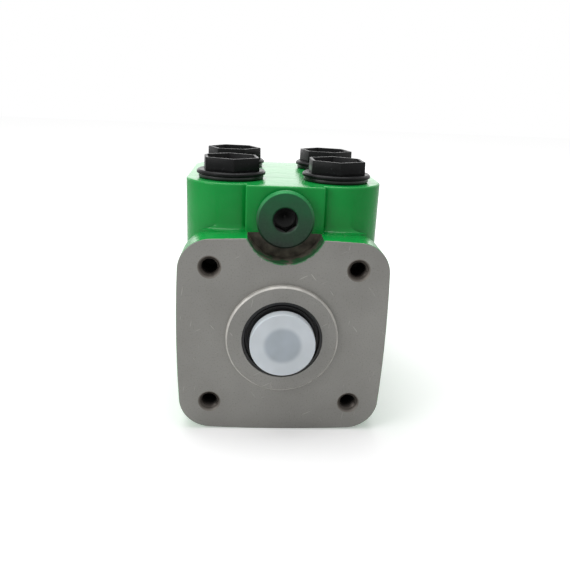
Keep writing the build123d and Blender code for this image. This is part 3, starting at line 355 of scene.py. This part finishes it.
def tapped_iron():
    """Freshly cut cast iron under oil, with bright crests, painted darker with depth as shade."""
    material, put, place = begin("oiled_tapped_cast_iron_with_painted_shade")
    y = put("ShaderNodeSeparateXYZ", {0: place}).outputs["Y"]
    # Painted shade: darker with depth into the hole
    depth = put("ShaderNodeMapRange", {"Value": y, "From Min": 0.0, "From Max": THREAD_SHADE_DEPTH})
    colour = put("ShaderNodeValToRGB", {0: depth},
                 [(0.0, "#6C6761"), (0.3, "#453F3A"), (1.0, "#1C1917")])
    grain = put("ShaderNodeTexNoise", {"Vector": place, "Scale": 1 / (0.7 * MM), "Detail": 2.0})
    relief = put("ShaderNodeBump", {"Height": grain, "Distance": 0.02 * MM, "Strength": 1.0})
    close(put, {"Base Color": colour, "Roughness": 0.35, "Metallic": 0.6, "Normal": relief})
    return material


# %% Finishes of the rubber, the plastics and the ground steel
PLASTIC_SHINE = 0.13          # specular level: polyethylene is waxy
HAZE = 1.6 * MM               # how far light spreads in the cap's wall at the hole's edge


def rubber():
    """Moulded nitrile rubber: black, with the soft gloss of a new seal."""
    material, put, place = begin("moulded_nitrile_rubber")
    cloud = put("ShaderNodeTexNoise", {"Vector": place, "Scale": 1 / (4 * MM)})
    colour = put("ShaderNodeValToRGB", {0: cloud}, [(0.3, "#101112"), (0.7, "#1A1B1C")])
    grain = put("ShaderNodeTexNoise", {"Vector": place, "Scale": 1 / (0.5 * MM)})
    relief = put("ShaderNodeBump", {"Height": grain, "Distance": 0.006 * MM, "Strength": 1.0})
    close(put, {"Base Color": colour, "Roughness": 0.34, "Normal": relief})
    return material


def black_plastic():
    """Injection-moulded black polyethylene, scuffed to grey here and there."""
    material, put, place = begin("moulded_black_polyethylene")
    cloud = put("ShaderNodeTexNoise", {"Vector": place, "Scale": 1 / (7 * MM), "Detail": 3.0})
    base = put("ShaderNodeValToRGB", {0: cloud}, [(0.3, "#090A0B"), (0.7, "#0F1011")])
    scuff = put("ShaderNodeTexNoise", {"Vector": place, "Scale": 1 / (1.6 * MM), "Detail": 4.0})
    scuff = put("ShaderNodeMapRange", {"Value": scuff, "From Min": 0.62, "From Max": 0.74,
                                       "To Max": 0.5})
    colour = put("ShaderNodeMix", {0: scuff, 6: base, 7: linear("#3A3D40")}, data_type="RGBA")
    rough = put("ShaderNodeMapRange", {"Value": cloud, "From Min": 0.3, "From Max": 0.7,
                                       "To Min": 0.26, "To Max": 0.4})
    flow = put("ShaderNodeTexNoise", {"Vector": place, "Scale": 1 / (2.5 * MM), "Detail": 1.0})
    relief = put("ShaderNodeBump", {"Height": flow, "Distance": 0.03 * MM, "Strength": 1.0})
    close(put, {"Base Color": colour, "Roughness": rough, "Normal": relief,
                "Specular IOR Level": PLASTIC_SHINE})
    return material


def pale_cap(hole_r):
    """Thin natural polyethylene: milky, with painted shade where the shaft's hole lies behind it.
    """
    material, put, place = begin("moulded_natural_polyethylene")
    flat_place = put("ShaderNodeVectorMath", {0: place, 1: ACROSS}, operation="MULTIPLY")
    axis_r = put("ShaderNodeVectorMath", {0: flat_place}, operation="LENGTH")
    behind = put("ShaderNodeMapRange", {
        "Value": axis_r, "From Min": hole_r - HAZE, "From Max": hole_r + HAZE,
        "To Min": 1.0, "To Max": 0.0,
    }, interpolation_type="SMOOTHSTEP")
    cloud = put("ShaderNodeTexNoise", {"Vector": place, "Scale": 1 / (14 * MM)})
    milky = put("ShaderNodeValToRGB", {0: cloud}, [(0.3, "#CED5DA"), (0.7, "#DAE1E7")])
    # The greyer colour over the hole is painted shade
    hollow = put("ShaderNodeValToRGB", {0: cloud}, [(0.3, "#A9B2B9"), (0.7, "#B5BFC8")])
    colour = put("ShaderNodeMix", {0: behind, 6: milky, 7: hollow}, data_type="RGBA")
    slack = put("ShaderNodeTexNoise", {"Vector": place, "Scale": 1 / (8 * MM), "Detail": 1.0})
    relief = put("ShaderNodeBump", {"Height": slack, "Distance": 0.04 * MM, "Strength": 1.0})
    close(put, {
        "Base Color": colour, "Roughness": 0.34, "Normal": relief, "Subsurface Weight": 0.25,
        "Subsurface Radius": (0.8, 0.9, 1.0), "Subsurface Scale": 1.2 * MM,
    })
    return material


def ground_steel():
    """Ground and hardened steel, under a film of oil."""
    material, put, place = begin("ground_hardened_steel")
    drawn_out = put("ShaderNodeMapping", {"Vector": place, "Scale": (1, 0.15, 1)})
    lines = put("ShaderNodeTexNoise", {"Vector": drawn_out, "Scale": 1 / (0.6 * MM)})
    colour = put("ShaderNodeValToRGB", {0: lines}, [(0.3, "#8D9094"), (0.7, "#B4B7BB")])
    relief = put("ShaderNodeBump", {"Height": lines, "Distance": 0.004 * MM, "Strength": 1.0})
    close(put, {"Base Color": colour, "Metallic": 1.0, "Roughness": 0.28, "Normal": relief})
    return material


# %% [markdown]
# ## Helpers for shapes
#
# Most small pieces here are turned: a closed outline spun round an axis. The outline's
# corners are bevelled first, because a real moulding or turned part has no sharp corner,
# and that small round is what catches the light. The screws and the relief valve's plug
# are built from rings instead, each drawn out from the one before, because a ring can be a
# hexagon. From here on sizes are in millimetres, and turn into metres where points are made.


# %% Turned shapes
SAME_POINT = 0.001 * MM       # points closer than this are merged
ON_AXIS = 0.01 * MM           # points closer to the axis than this lie on it


def turned(points, round_mm, steps=96, round_steps=3):
    """A solid spun round Z from a closed outline of (radius, height) points in millimetres."""
    shape = bmesh.new()
    corners = [shape.verts.new((r * MM, 0, h * MM)) for r, h in points]
    for pair in zip(corners, corners[1:] + corners[:1]):
        shape.edges.new(pair)
    free = [corner for corner in corners if corner.co.x > ON_AXIS]
    bmesh.ops.bevel(shape, geom=free, offset=round_mm * MM, affect="VERTICES",
                    segments=round_steps, profile=0.5, material=-1)
    along_axis = [edge for edge in shape.edges if all(v.co.x < ON_AXIS for v in edge.verts)]
    bmesh.ops.delete(shape, geom=along_axis, context="EDGES_FACES")
    bmesh.ops.spin(shape, geom=shape.edges[:] + shape.verts[:], cent=(0, 0, 0),
                   axis=(0, 0, 1), angle=2 * math.pi, steps=steps, use_merge=True)
    bmesh.ops.remove_doubles(shape, verts=shape.verts[:], dist=SAME_POINT)
    bmesh.ops.recalc_face_normals(shape, faces=shape.faces[:])
    return shape


def joined(shapes):
    """Several shells as one shape."""
    whole = shapes[0]
    for other in shapes[1:]:
        carrier = bpy.data.meshes.new("carrier")
        other.to_mesh(carrier)
        whole.from_mesh(carrier)
        bpy.data.meshes.remove(carrier)
        other.free()
    return whole


def moved(shape, place):
    """The same shape, turned and moved."""
    bmesh.ops.transform(shape, matrix=place, verts=shape.verts[:])
    return shape


# %% Shells of rings, round or hexagonal, and pieces put in their place
RING_STEPS = 72               # a multiple of twelve, so that points land on a hexagon's corners


def hexagon(across_flats):
    """A hexagon's radius in each direction, from its width across flats."""
    def radius(turn):
        from_flat = math.radians((math.degrees(turn) + 30) % 60 - 30)
        return across_flats / 2 / math.cos(from_flat)
    return radius


def stacked(rings):
    """A closed shell from ring to ring. A ring is a radius, or a rule that gives one for a
    direction, and a height, or a rule that gives one for a radius."""
    shape = bmesh.new()
    bmesh.ops.create_circle(shape, segments=RING_STEPS, radius=1, cap_ends=True)
    ring, edges = shape.verts[:], shape.edges[:]
    for number, (radius, height) in enumerate(rings):
        if number:
            drawn = bmesh.ops.extrude_edge_only(shape, edges=edges)["geom"]
            ring = [part for part in drawn if isinstance(part, bmesh.types.BMVert)]
            edges = [part for part in drawn if isinstance(part, bmesh.types.BMEdge)]
        for vert in ring:
            turn = math.atan2(vert.co.y, vert.co.x)
            r = radius(turn) if callable(radius) else radius
            h = height(r) if callable(height) else height
            vert.co = (r * math.cos(turn) * MM, r * math.sin(turn) * MM, h * MM)
    bmesh.ops.contextual_create(shape, geom=edges)
    bmesh.ops.recalc_face_normals(shape, faces=shape.faces[:])
    return shape


def piece(shape, name, material, body, replaced=(), place=Matrix(), sharp_deg=32):
    """Put a shape in its place as a named piece that rides on a body."""
    moved(shape, place)
    mesh = bpy.data.meshes.new(name)
    shape.to_mesh(mesh)
    shape.free()
    if mesh.has_custom_normals:   # a changed copy of a solid can't keep the solid's own
        mesh.attributes.remove(mesh.attributes["custom_normal"])
    mesh.shade_smooth()
    mesh.set_sharp_from_angle(angle=math.radians(sharp_deg))
    mesh.materials.append(material)
    made = bpy.data.objects.new(name, mesh)
    bpy.context.scene.collection.objects.link(made)
    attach(made, body)
    if replaced:
        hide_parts(*replaced)
    print(name, "has", len(mesh.polygons), "faces")


def facing_front(centre):
    """A placement that turns a piece's Z towards the front, at a centre."""
    return Matrix.Translation(centre) @ Matrix.Rotation(math.radians(90), 4, "X")


def facing_rear(centre):
    """A placement that turns a piece's Z towards the rear, at a centre."""
    return Matrix.Translation(centre) @ Matrix.Rotation(math.radians(-90), 4, "X")


# %% Dress the solids that keep their shape
SHAFT_HOLE_R = 10.3 * MM
relief_low, relief_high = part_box("relief_plug")
relief_centre_z = (relief_low.z + relief_high.z) / 2
enamel_iron = painted_iron()
enamel_steel = painted_steel()
phosphate = misted_phosphate(relief_centre_z, (relief_high.z - relief_low.z) / 2)
threaded_iron = tapped_iron()
rubber_black = rubber()
plastic_black = black_plastic()
plastic_pale = pale_cap(SHAFT_HOLE_R)
steel_ground = ground_steel()
by_slot = {
    "cast_iron_painted": enamel_iron,
    "steel_painted": enamel_steel,
    "steel_fastener": phosphate,
    "steel_seal_ring": steel_ground,
    "ground_steel": steel_ground,
    "nitrile_rubber": rubber_black,
    "ldpe_cap": plastic_pale,
    "black_plastic": plastic_black,
}
for part in frame["record"]["subparts"]:
    mesh = nodes[part["node"]].data
    mesh.materials.clear()
    mesh.materials.append(by_slot[part["material_slot"]])
print("slots dressed:", len(by_slot))

# %% [markdown]
# ## Foot of the front lobes
#
# A casting has no sharp inside corner: where each front lobe stands on the flange, the
# pattern's fillet leaves a hollow curve. The solid has a round bead of the same size there,
# so the points of a copy are let down from the bead to the hollow. Coplanar faces are
# dissolved first and cut into triangles afterwards, so that none of them folds over.

# %% Hollow the foot
LOBE_X = 31.5                 # each front lobe's axis, and its radius
LOBE_Y = 46.5
LOBE_R = 26.5
FOOT_Z = 57.61                # the bead's height at its foot, and its radius
FOOT_R = 4.0
FLANGE_REAR = 21.0
SLACK = 0.01                  # how far a point may lie past the band's edge
BEAD_SLACK = 0.05             # how far it may lie off the bead
UPRIGHT = 0.001               # a normal's height on an upright face, at most
COPLANAR_DEG = 0.2
casting = bmesh.new()
casting.from_mesh(nodes["housing"].data)
bmesh.ops.remove_doubles(casting, verts=casting.verts[:], dist=SAME_POINT)
flat_edges = [edge for edge in casting.edges if edge.is_manifold
              and all(abs(face.normal.z) < UPRIGHT for face in edge.link_faces)]
bmesh.ops.dissolve_limit(casting, angle_limit=math.radians(COPLANAR_DEG), edges=flat_edges,
                         verts=list({vert for edge in flat_edges for vert in edge.verts}))
let_down = 0
for vert in casting.verts:
    x, y, z = vert.co / MM
    out = math.hypot(abs(x) - LOBE_X, y - LOBE_Y) - LOBE_R
    if not SLACK < out < FOOT_R or y > FLANGE_REAR + SLACK:
        continue
    if abs(z - FOOT_Z - math.sqrt(FOOT_R ** 2 - out ** 2)) < BEAD_SLACK:
        vert.co.z = (FOOT_Z + FOOT_R - math.sqrt(FOOT_R ** 2 - (FOOT_R - out) ** 2)) * MM
        let_down += 1
bmesh.ops.triangulate(casting, faces=[face for face in casting.faces if len(face.verts) > 4])
print("points let down:", let_down)
piece(casting, "housing_casting", enamel_iron, "housing", ["housing"],
      sharp_deg=30)

# %% [markdown]
# ## Port plugs
#
# Each port is closed for transport by a black plastic plug: a thin hexagonal cup that a
# spanner fits, on a round collar with a fat rubber ring below. The cup starts as a
# hexagonal prism. Its top is inset by the wall's thickness and pushed down until a thin
# floor is left, and then every edge is rounded.

# %% A plug's cup
PLUG_TURNS = {      # each hexagon's turn, in degrees
    "front_left": 7, "front_right": 1, "rear_left": 24, "rear_right": 14,
}
PLUG_AF = 31.6
PLUG_WALL = 1.9
PLUG_TAPER = 0.985            # the prism's width at its top over that at its foot
PLUG_FLOOR = 0.4
HEX_HEIGHT = 7.6
COLLAR_R = 20.45
COLLAR_THICKNESS = 2.2
COLLAR_LAND = 1.3             # the collar's straight side, below its slope
COLLAR_TOP_R = 19.4
SEAL_THICKNESS = 2.6
COLLAR_TOP = SEAL_THICKNESS + COLLAR_THICKNESS
SHANK_END = -12.0
SHANK_R = 15.2
SHANK_WALL = 2.5
SHANK_FLOOR = 1.9
RING_R = 19.3
RING_BORE_R = SHANK_R + 0.1
SUNK = 0.8                    # how far the cup's foot goes into the collar


def hex_cup(across_flats, height, wall, floor, round_mm):
    """A hexagonal cup with a wall and a floor of these thicknesses and rounded edges."""
    corner_r = across_flats / 2 / math.cos(math.pi / 6) * MM
    cup = bmesh.new()
    bmesh.ops.create_cone(cup, segments=6, radius1=corner_r, radius2=corner_r * PLUG_TAPER,
                          depth=height * MM, cap_ends=True)
    moved(cup, Matrix.Translation((0, 0, height * MM / 2)))
    top = max(cup.faces, key=lambda face: face.calc_center_median().z)
    bmesh.ops.inset_region(cup, faces=[top], thickness=wall * MM)
    pushed = bmesh.ops.extrude_face_region(cup, geom=[top])["geom"]
    bmesh.ops.delete(cup, geom=[top], context="FACES")
    low_corners = [part for part in pushed if isinstance(part, bmesh.types.BMVert)]
    bmesh.ops.translate(cup, verts=low_corners, vec=(0, 0, (floor - height) * MM))
    bmesh.ops.recalc_face_normals(cup, faces=cup.faces[:])
    bmesh.ops.bevel(cup, geom=cup.edges[:], offset=round_mm * MM, affect="EDGES", segments=3,
                    profile=0.5, material=-1)
    return cup


# %% Make the four plugs and their rings
for name, turn in PLUG_TURNS.items():
    low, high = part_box("port_plug_seal_" + name)
    port = Matrix.Translation(((low.x + high.x) / 2, (low.y + high.y) / 2, low.z))
    cup = hex_cup(PLUG_AF, HEX_HEIGHT + SUNK, PLUG_WALL, PLUG_FLOOR, 0.3)
    stood = Matrix.Translation((0, 0, (COLLAR_TOP - SUNK) * MM))
    moved(cup, stood @ Matrix.Rotation(math.radians(turn), 4, "Z"))
    wall_r = SHANK_R - SHANK_WALL
    body = turned([
        (0, SHANK_END), (SHANK_R, SHANK_END), (SHANK_R, SEAL_THICKNESS), (COLLAR_R, SEAL_THICKNESS),
        (COLLAR_R, SEAL_THICKNESS + COLLAR_LAND), (COLLAR_TOP_R, COLLAR_TOP), (wall_r, COLLAR_TOP),
        (wall_r, SHANK_END + SHANK_FLOOR), (0, SHANK_END + SHANK_FLOOR),
    ], 0.25)
    piece(joined([cup, body]), "plug_" + name, plastic_black, "housing",
          ["port_plug_" + name], port)
    ring = turned([(RING_BORE_R, 0), (RING_R, 0), (RING_R, SEAL_THICKNESS),
                   (RING_BORE_R, SEAL_THICKNESS)], 0.9, round_steps=5)
    piece(ring, "plug_ring_" + name, rubber_black, "housing",
          ["port_plug_seal_" + name], port)

# %% [markdown]
# ## Relief valve's plug
#
# A turned steel plug with a hexagon socket. Every cross-section of it is a ring, so the
# whole plug is one circle drawn out again and again. The countersink is a cone, so it
# reaches deeper at the middles of the socket's flats than at its corners.

# %% Make the relief valve's plug
COLLAR_OUTER_R = 16.2
COLLAR_DEPTH = 4.0
COLLAR_CHAMFER = 1.1
KEY_AF = 12.0
KEY_DEPTH = 9.0
KEY_TURN = 5
COUNTERSINK_R = 7.6
STUD_R = 12.4
STUD_LENGTH = 18.0
STUD_CHAMFER = 1.0
KEY_DRILL_R = KEY_AF / 2 - 0.4
DRILL_TIP_R = 0.5
DRILL_POINT = 2.5


def socket_plug():
    """A round collar with a chamfer, a hexagon socket and a stud, with its face at height 0."""
    return stacked([
        (STUD_R - STUD_CHAMFER, -COLLAR_DEPTH - STUD_LENGTH),
        (STUD_R, -COLLAR_DEPTH - STUD_LENGTH + STUD_CHAMFER),
        (STUD_R, -COLLAR_DEPTH), (COLLAR_OUTER_R, -COLLAR_DEPTH),
        (COLLAR_OUTER_R, -COLLAR_CHAMFER), (COLLAR_OUTER_R - COLLAR_CHAMFER, 0),
        (COUNTERSINK_R, 0), (hexagon(KEY_AF), lambda r: r - COUNTERSINK_R),
        (hexagon(KEY_AF), -KEY_DEPTH), (KEY_DRILL_R, -KEY_DEPTH),
        (DRILL_TIP_R, -KEY_DEPTH - DRILL_POINT),
    ])


plug = moved(socket_plug(), Matrix.Rotation(math.radians(KEY_TURN), 4, "Z"))
piece(plug, "relief_valve_plug", phosphate, "housing", ["relief_plug"],
      facing_front((0, relief_low.y, relief_centre_z)), sharp_deg=25)

# %% [markdown]
# ## Shaft's cap and wiper
#
# The cap is a shallow turned cup. The wiper seal beside it has two ribs round its face
# that hold grease between them, and a thin lip that rests on the shaft.

# %% Make the cap and the wiper
CAP_R = 18.4
CAP_BORE_R = 17.05
CAP_WALL = 1.3
cap_low, cap_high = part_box("input_cap")
cap_length = (cap_high.y - cap_low.y) / MM
cap = turned([
    (0, 0), (CAP_R, 0), (CAP_R, -cap_length), (CAP_BORE_R, -cap_length), (CAP_BORE_R, -CAP_WALL),
    (0, -CAP_WALL),
], 0.55, steps=120, round_steps=5)
piece(cap, "shaft_cap", plastic_pale, "spool", ["input_cap"],
      facing_front((0, cap_low.y, 0)))

seal_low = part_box("dust_seal")[0]
wiper = turned([
    (22.9, 0.0), (22.9, -6.0), (17.1, -6.0), (17.05, -1.4), (17.9, -0.5), (18.6, -2.2),
    (19.3, -2.2), (19.6, -1.0), (20.1, -1.0), (20.4, -2.2), (21.0, -2.2), (21.4, -0.2),
], 0.14, steps=120)
piece(wiper, "shaft_wiper", rubber_black, "housing", ["dust_seal"],
      facing_front((0, seal_low.y, 0)))

# %% [markdown]
# ## Threads in the flange's holes
#
# The column's screws go into four M12 threads. A thread is one small tooth screwed along
# the hole's axis, which spin does when each step also moves a little along it.

# %% Make the threads
THREAD_PITCH = 1.75
THREAD_ROOT_R = 5.12
THREAD_CREST_R = 4.5
THREAD_TURNS = 11
TURN_STEPS = 36
THREAD_START = 1.2
THREAD_FOOT = 0.8             # half of the tooth's width at its foot, and at its crest
THREAD_LAND = 0.1


def thread():
    """A ridge that winds down a hole from height 0, with its foot sunk into the wall."""
    shape = bmesh.new()
    outline = [(THREAD_ROOT_R, THREAD_FOOT), (THREAD_CREST_R, THREAD_LAND),
               (THREAD_CREST_R, -THREAD_LAND), (THREAD_ROOT_R, -THREAD_FOOT)]
    tooth = [shape.verts.new((r * MM, 0, h * MM)) for r, h in outline]
    face = shape.faces.new(tooth)
    wound = bmesh.ops.spin(shape, geom=[face], cent=(0, 0, 0), axis=(0, 0, 1),
                           dvec=(0, 0, -THREAD_PITCH / TURN_STEPS * MM), use_duplicate=False,
                           angle=2 * math.pi * THREAD_TURNS, steps=TURN_STEPS * THREAD_TURNS)
    bmesh.ops.recalc_face_normals(shape, faces=shape.faces[:])
    print("thread ends with", len(wound["geom_last"]), "parts")
    return shape


holes = [(side * BOLT_HALF_PITCH, THREAD_START * MM, up * BOLT_HALF_PITCH)
         for side in (-1, 1) for up in (-1, 1)]
threads = [moved(thread(), facing_front(hole)) for hole in holes]
piece(joined(threads), "column_threads", threaded_iron, "housing",
      sharp_deg=25)

# %% [markdown]
# ## Cover bolts and washers
#
# Seven bolts clamp the cover and the gear set. A bolt's head is forged as a hexagon and then
# turned to a shallow cone, so its corners are lower than the middles of its sides. Here each
# point of the head's top drops by how far it lies outside the cone's circle.

# %% Make the bolts and washers
BOLT_CIRCLE_R = 50.0
BOLT_COUNT = 7
HEAD_AF = 16.0
HEAD_HEIGHT = 6.4
HEAD_TURN = 15
HEAD_SLOPE = math.tan(math.radians(30))
HEAD_CONE_R = HEAD_AF / 2 * 0.97       # the cone starts here
HEAD_FLAT_R = HEAD_AF / 2 * 0.93       # and the flat top ends here
BOLT_R = 5.0
BOLT_CHAMFER = 1.0
WASHER_R = 9.0
WASHER_THICKNESS = 1.6
WASHER_HOLE_R = 5.3


def bolt(length):
    """A forged hexagon bolt, its head's foot at height 0 and its shank below."""
    shape = stacked([
        (BOLT_R - BOLT_CHAMFER, -length), (BOLT_R, -length + BOLT_CHAMFER), (BOLT_R, 0),
        (hexagon(HEAD_AF), 0),
        (hexagon(HEAD_AF), lambda r: HEAD_HEIGHT - max(0, r - HEAD_CONE_R) * HEAD_SLOPE),
        (HEAD_FLAT_R, HEAD_HEIGHT),
    ])
    return moved(shape, Matrix.Rotation(math.radians(HEAD_TURN), 4, "Z"))


def cover_places(numbers, y):
    """Where bolts of these numbers stand at a station, the first one at the bottom."""
    turns = [2 * math.pi * k / BOLT_COUNT - math.pi / 2 for k in numbers]
    return [facing_rear((BOLT_CIRCLE_R * MM * math.cos(t), y, BOLT_CIRCLE_R * MM * math.sin(t)))
            for t in turns]


for name, node, numbers in (("cover_bolt_set", "cover_bolts", range(1, BOLT_COUNT)),
                            ("cover_pin_bolt", "pin_bolt", range(1))):
    low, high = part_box(node)
    shank = (high.y - low.y) / MM - HEAD_HEIGHT
    foot_y = high.y - HEAD_HEIGHT * MM
    bolts = [moved(bolt(shank), place) for place in cover_places(numbers, foot_y)]
    piece(joined(bolts), name, enamel_steel, "housing", [node], sharp_deg=28)

washers_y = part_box("cover_washers")[0].y
washers = [moved(turned([(WASHER_HOLE_R, 0), (WASHER_R, 0), (WASHER_R, WASHER_THICKNESS),
                         (WASHER_HOLE_R, WASHER_THICKNESS)], 0.3, steps=64), place)
           for place in cover_places(range(BOLT_COUNT), washers_y)]
piece(joined(washers), "cover_washer_set", enamel_steel, "housing",
      ["cover_washers"])

# %% [markdown]
# ## Broken edges of the gear set
#
# The distributor plate, the gear ring and the cover are separate turned discs. Each one's
# outer edges are broken with a small round, so that a fine groove shows at every joint
# even under paint. A copy of each solid is merged, and its outermost round edges bevelled.

# %% Break the discs' outer edges
EDGE_BREAK = 0.4
DISC_R = 58.0
RIM_DEPTH = 0.3               # an edge whose ends lie this close to the rim belongs to it
SEAM = 0.002 * MM             # the solids' shared points lie closer than this
RIM_DEG = 40                  # a rim's edge turns by more than this


def edge_broken(node):
    """A copy of a disc's solid with its outer round edges rounded off."""
    shape = bmesh.new()
    shape.from_mesh(nodes[node].data)
    bmesh.ops.remove_doubles(shape, verts=shape.verts[:], dist=SEAM)
    bmesh.ops.dissolve_limit(shape, angle_limit=math.radians(1), verts=shape.verts[:],
                             edges=shape.edges[:])
    rims = [edge for edge in shape.edges if edge.is_manifold
            and edge.calc_face_angle() > math.radians(RIM_DEG)
            and all(math.hypot(v.co.x, v.co.z) > (DISC_R - RIM_DEPTH) * MM for v in edge.verts)
            and abs(edge.verts[0].co.y - edge.verts[1].co.y) < ON_AXIS]
    bmesh.ops.bevel(shape, geom=rims, offset=EDGE_BREAK * MM, affect="EDGES", segments=2,
                    profile=0.5, material=-1)
    print(node, "has", len(rims), "edges broken")
    return shape


for name, node in (("gear_set_plate", "distributor_plate"), ("gear_set_ring", "gear_ring"),
                   ("gear_set_cover", "end_cover")):
    piece(edge_broken(node), name, enamel_steel, "housing", [node], sharp_deg=25)

# %% [markdown]
# ## Floor, light and camera
#
# A product is lit by one large soft lamp above and a little behind, a weaker one in front
# on the left, a wide pale room all round, and white card below. A third, wide lamp stands
# far behind, and glances off the port block's top. The room shows white to the camera and
# in reflections.

# %% Room
FLOOR_Z = solid_box[0][2]
ROOM_LEVEL = 0.37
scene = bpy.context.scene
scene.view_settings.view_transform = "Standard"
world = bpy.data.worlds.new("room")
world.use_nodes = True
world.node_tree.nodes.clear()
put = partial(add, world.node_tree)
path = put("ShaderNodeLightPath", {})
seen = put("ShaderNodeMath", {0: path.outputs["Is Camera Ray"], 1: path.outputs["Is Glossy Ray"]},
           operation="MAXIMUM")
seen = put("ShaderNodeMath", {0: seen, 1: path.outputs["Is Transmission Ray"]},
           operation="MAXIMUM")
level = put("ShaderNodeMapRange", {"Value": seen, "To Min": ROOM_LEVEL})
room = put("ShaderNodeBackground", {"Color": (1, 1, 1, 1), "Strength": level})
put("ShaderNodeOutputWorld", {"Surface": room})
scene.world = world
print("room's level:", ROOM_LEVEL, "for the unit, 1.0 for the camera")

# %% Floor
FLOOR_HALF = 3.0              # metres
GLOW_NEAR = 0.3               # the card's glow to the camera, close by and further off
GLOW_FAR = 0.66
NEAR = 0.2                    # metres from the middle
FAR = 0.6
material, put, place = begin("white_card")
away = put("ShaderNodeVectorMath", {0: place}, operation="LENGTH")
glow = put("ShaderNodeMapRange", {"Value": away, "From Min": NEAR, "From Max": FAR,
                                  "To Min": GLOW_NEAR, "To Max": GLOW_FAR})
path = put("ShaderNodeLightPath", {})
glow = put("ShaderNodeMath", {0: path.outputs["Is Camera Ray"], 1: glow}, operation="MULTIPLY")
close(put, {"Base Color": (0.85, 0.85, 0.85, 1), "Roughness": 0.9, "Specular IOR Level": 0.0,
            "Emission Color": (1, 1, 1, 1), "Emission Strength": glow})
shape = bmesh.new()
bmesh.ops.create_grid(shape, x_segments=1, y_segments=1, size=FLOOR_HALF,
                      matrix=Matrix.Translation((0, 0, FLOOR_Z)))
mesh = bpy.data.meshes.new("floor")
shape.to_mesh(mesh)
shape.free()
mesh.materials.append(material)
card = bpy.data.objects.new("floor", mesh)
scene.collection.objects.link(card)
print("floor at", round(FLOOR_Z / MM, 1), "mm")


# %% Lamps
MIDDLE = Vector((0, 0.06, 0))          # the point in the unit that the lamps look at


def lamp(name, place, width, height, watts):
    """A soft rectangular lamp that looks at the unit."""
    light = bpy.data.lights.new(name, "AREA")
    light.shape = "RECTANGLE"
    light.size = width
    light.size_y = height
    light.energy = watts
    holder = bpy.data.objects.new(name, light)
    holder.location = place
    aim = MIDDLE - Vector(place)
    holder.rotation_euler = aim.to_track_quat("-Z", "Y").to_euler()
    scene.collection.objects.link(holder)
    print(name, watts, "W")


lamp("softbox_above", (-0.1, 0.25, 1.1), 0.9, 0.9, 10.0)
lamp("softbox_left", (-1.0, -0.5, 0.6), 0.7, 0.7, 5.0)
lamp("softbox_behind", (0.0, 1.5, 0.34), 1.4, 0.5, 2.0)

# %% [markdown]
# ## Camera
#
# The camera stands a little above and left of the unit, close enough for some perspective.

# %% Camera
IMAGE_PX = 570
FOCAL_PX = 588.98
CAMERA_PLACE = Vector((-19.03, -309.77, 134.84)) * MM
CAMERA_YAW = 0.06320
CAMERA_PITCH = 0.31995
CAMERA_ROLL = 0.04287
lens = bpy.data.cameras.new("camera")
lens.sensor_width = 36.0
lens.lens = FOCAL_PX * lens.sensor_width / IMAGE_PX
lens.clip_start = 0.01
camera = bpy.data.objects.new("camera", lens)
camera.matrix_world = (
    Matrix.Translation(CAMERA_PLACE)
    @ Matrix.Rotation(-CAMERA_YAW, 4, "Z")
    @ Matrix.Rotation(math.pi / 2 - CAMERA_PITCH, 4, "X")
    @ Matrix.Rotation(CAMERA_ROLL, 4, "Z")
)
scene.collection.objects.link(camera)
scene.camera = camera
print("lens:", round(lens.lens, 1), "mm")
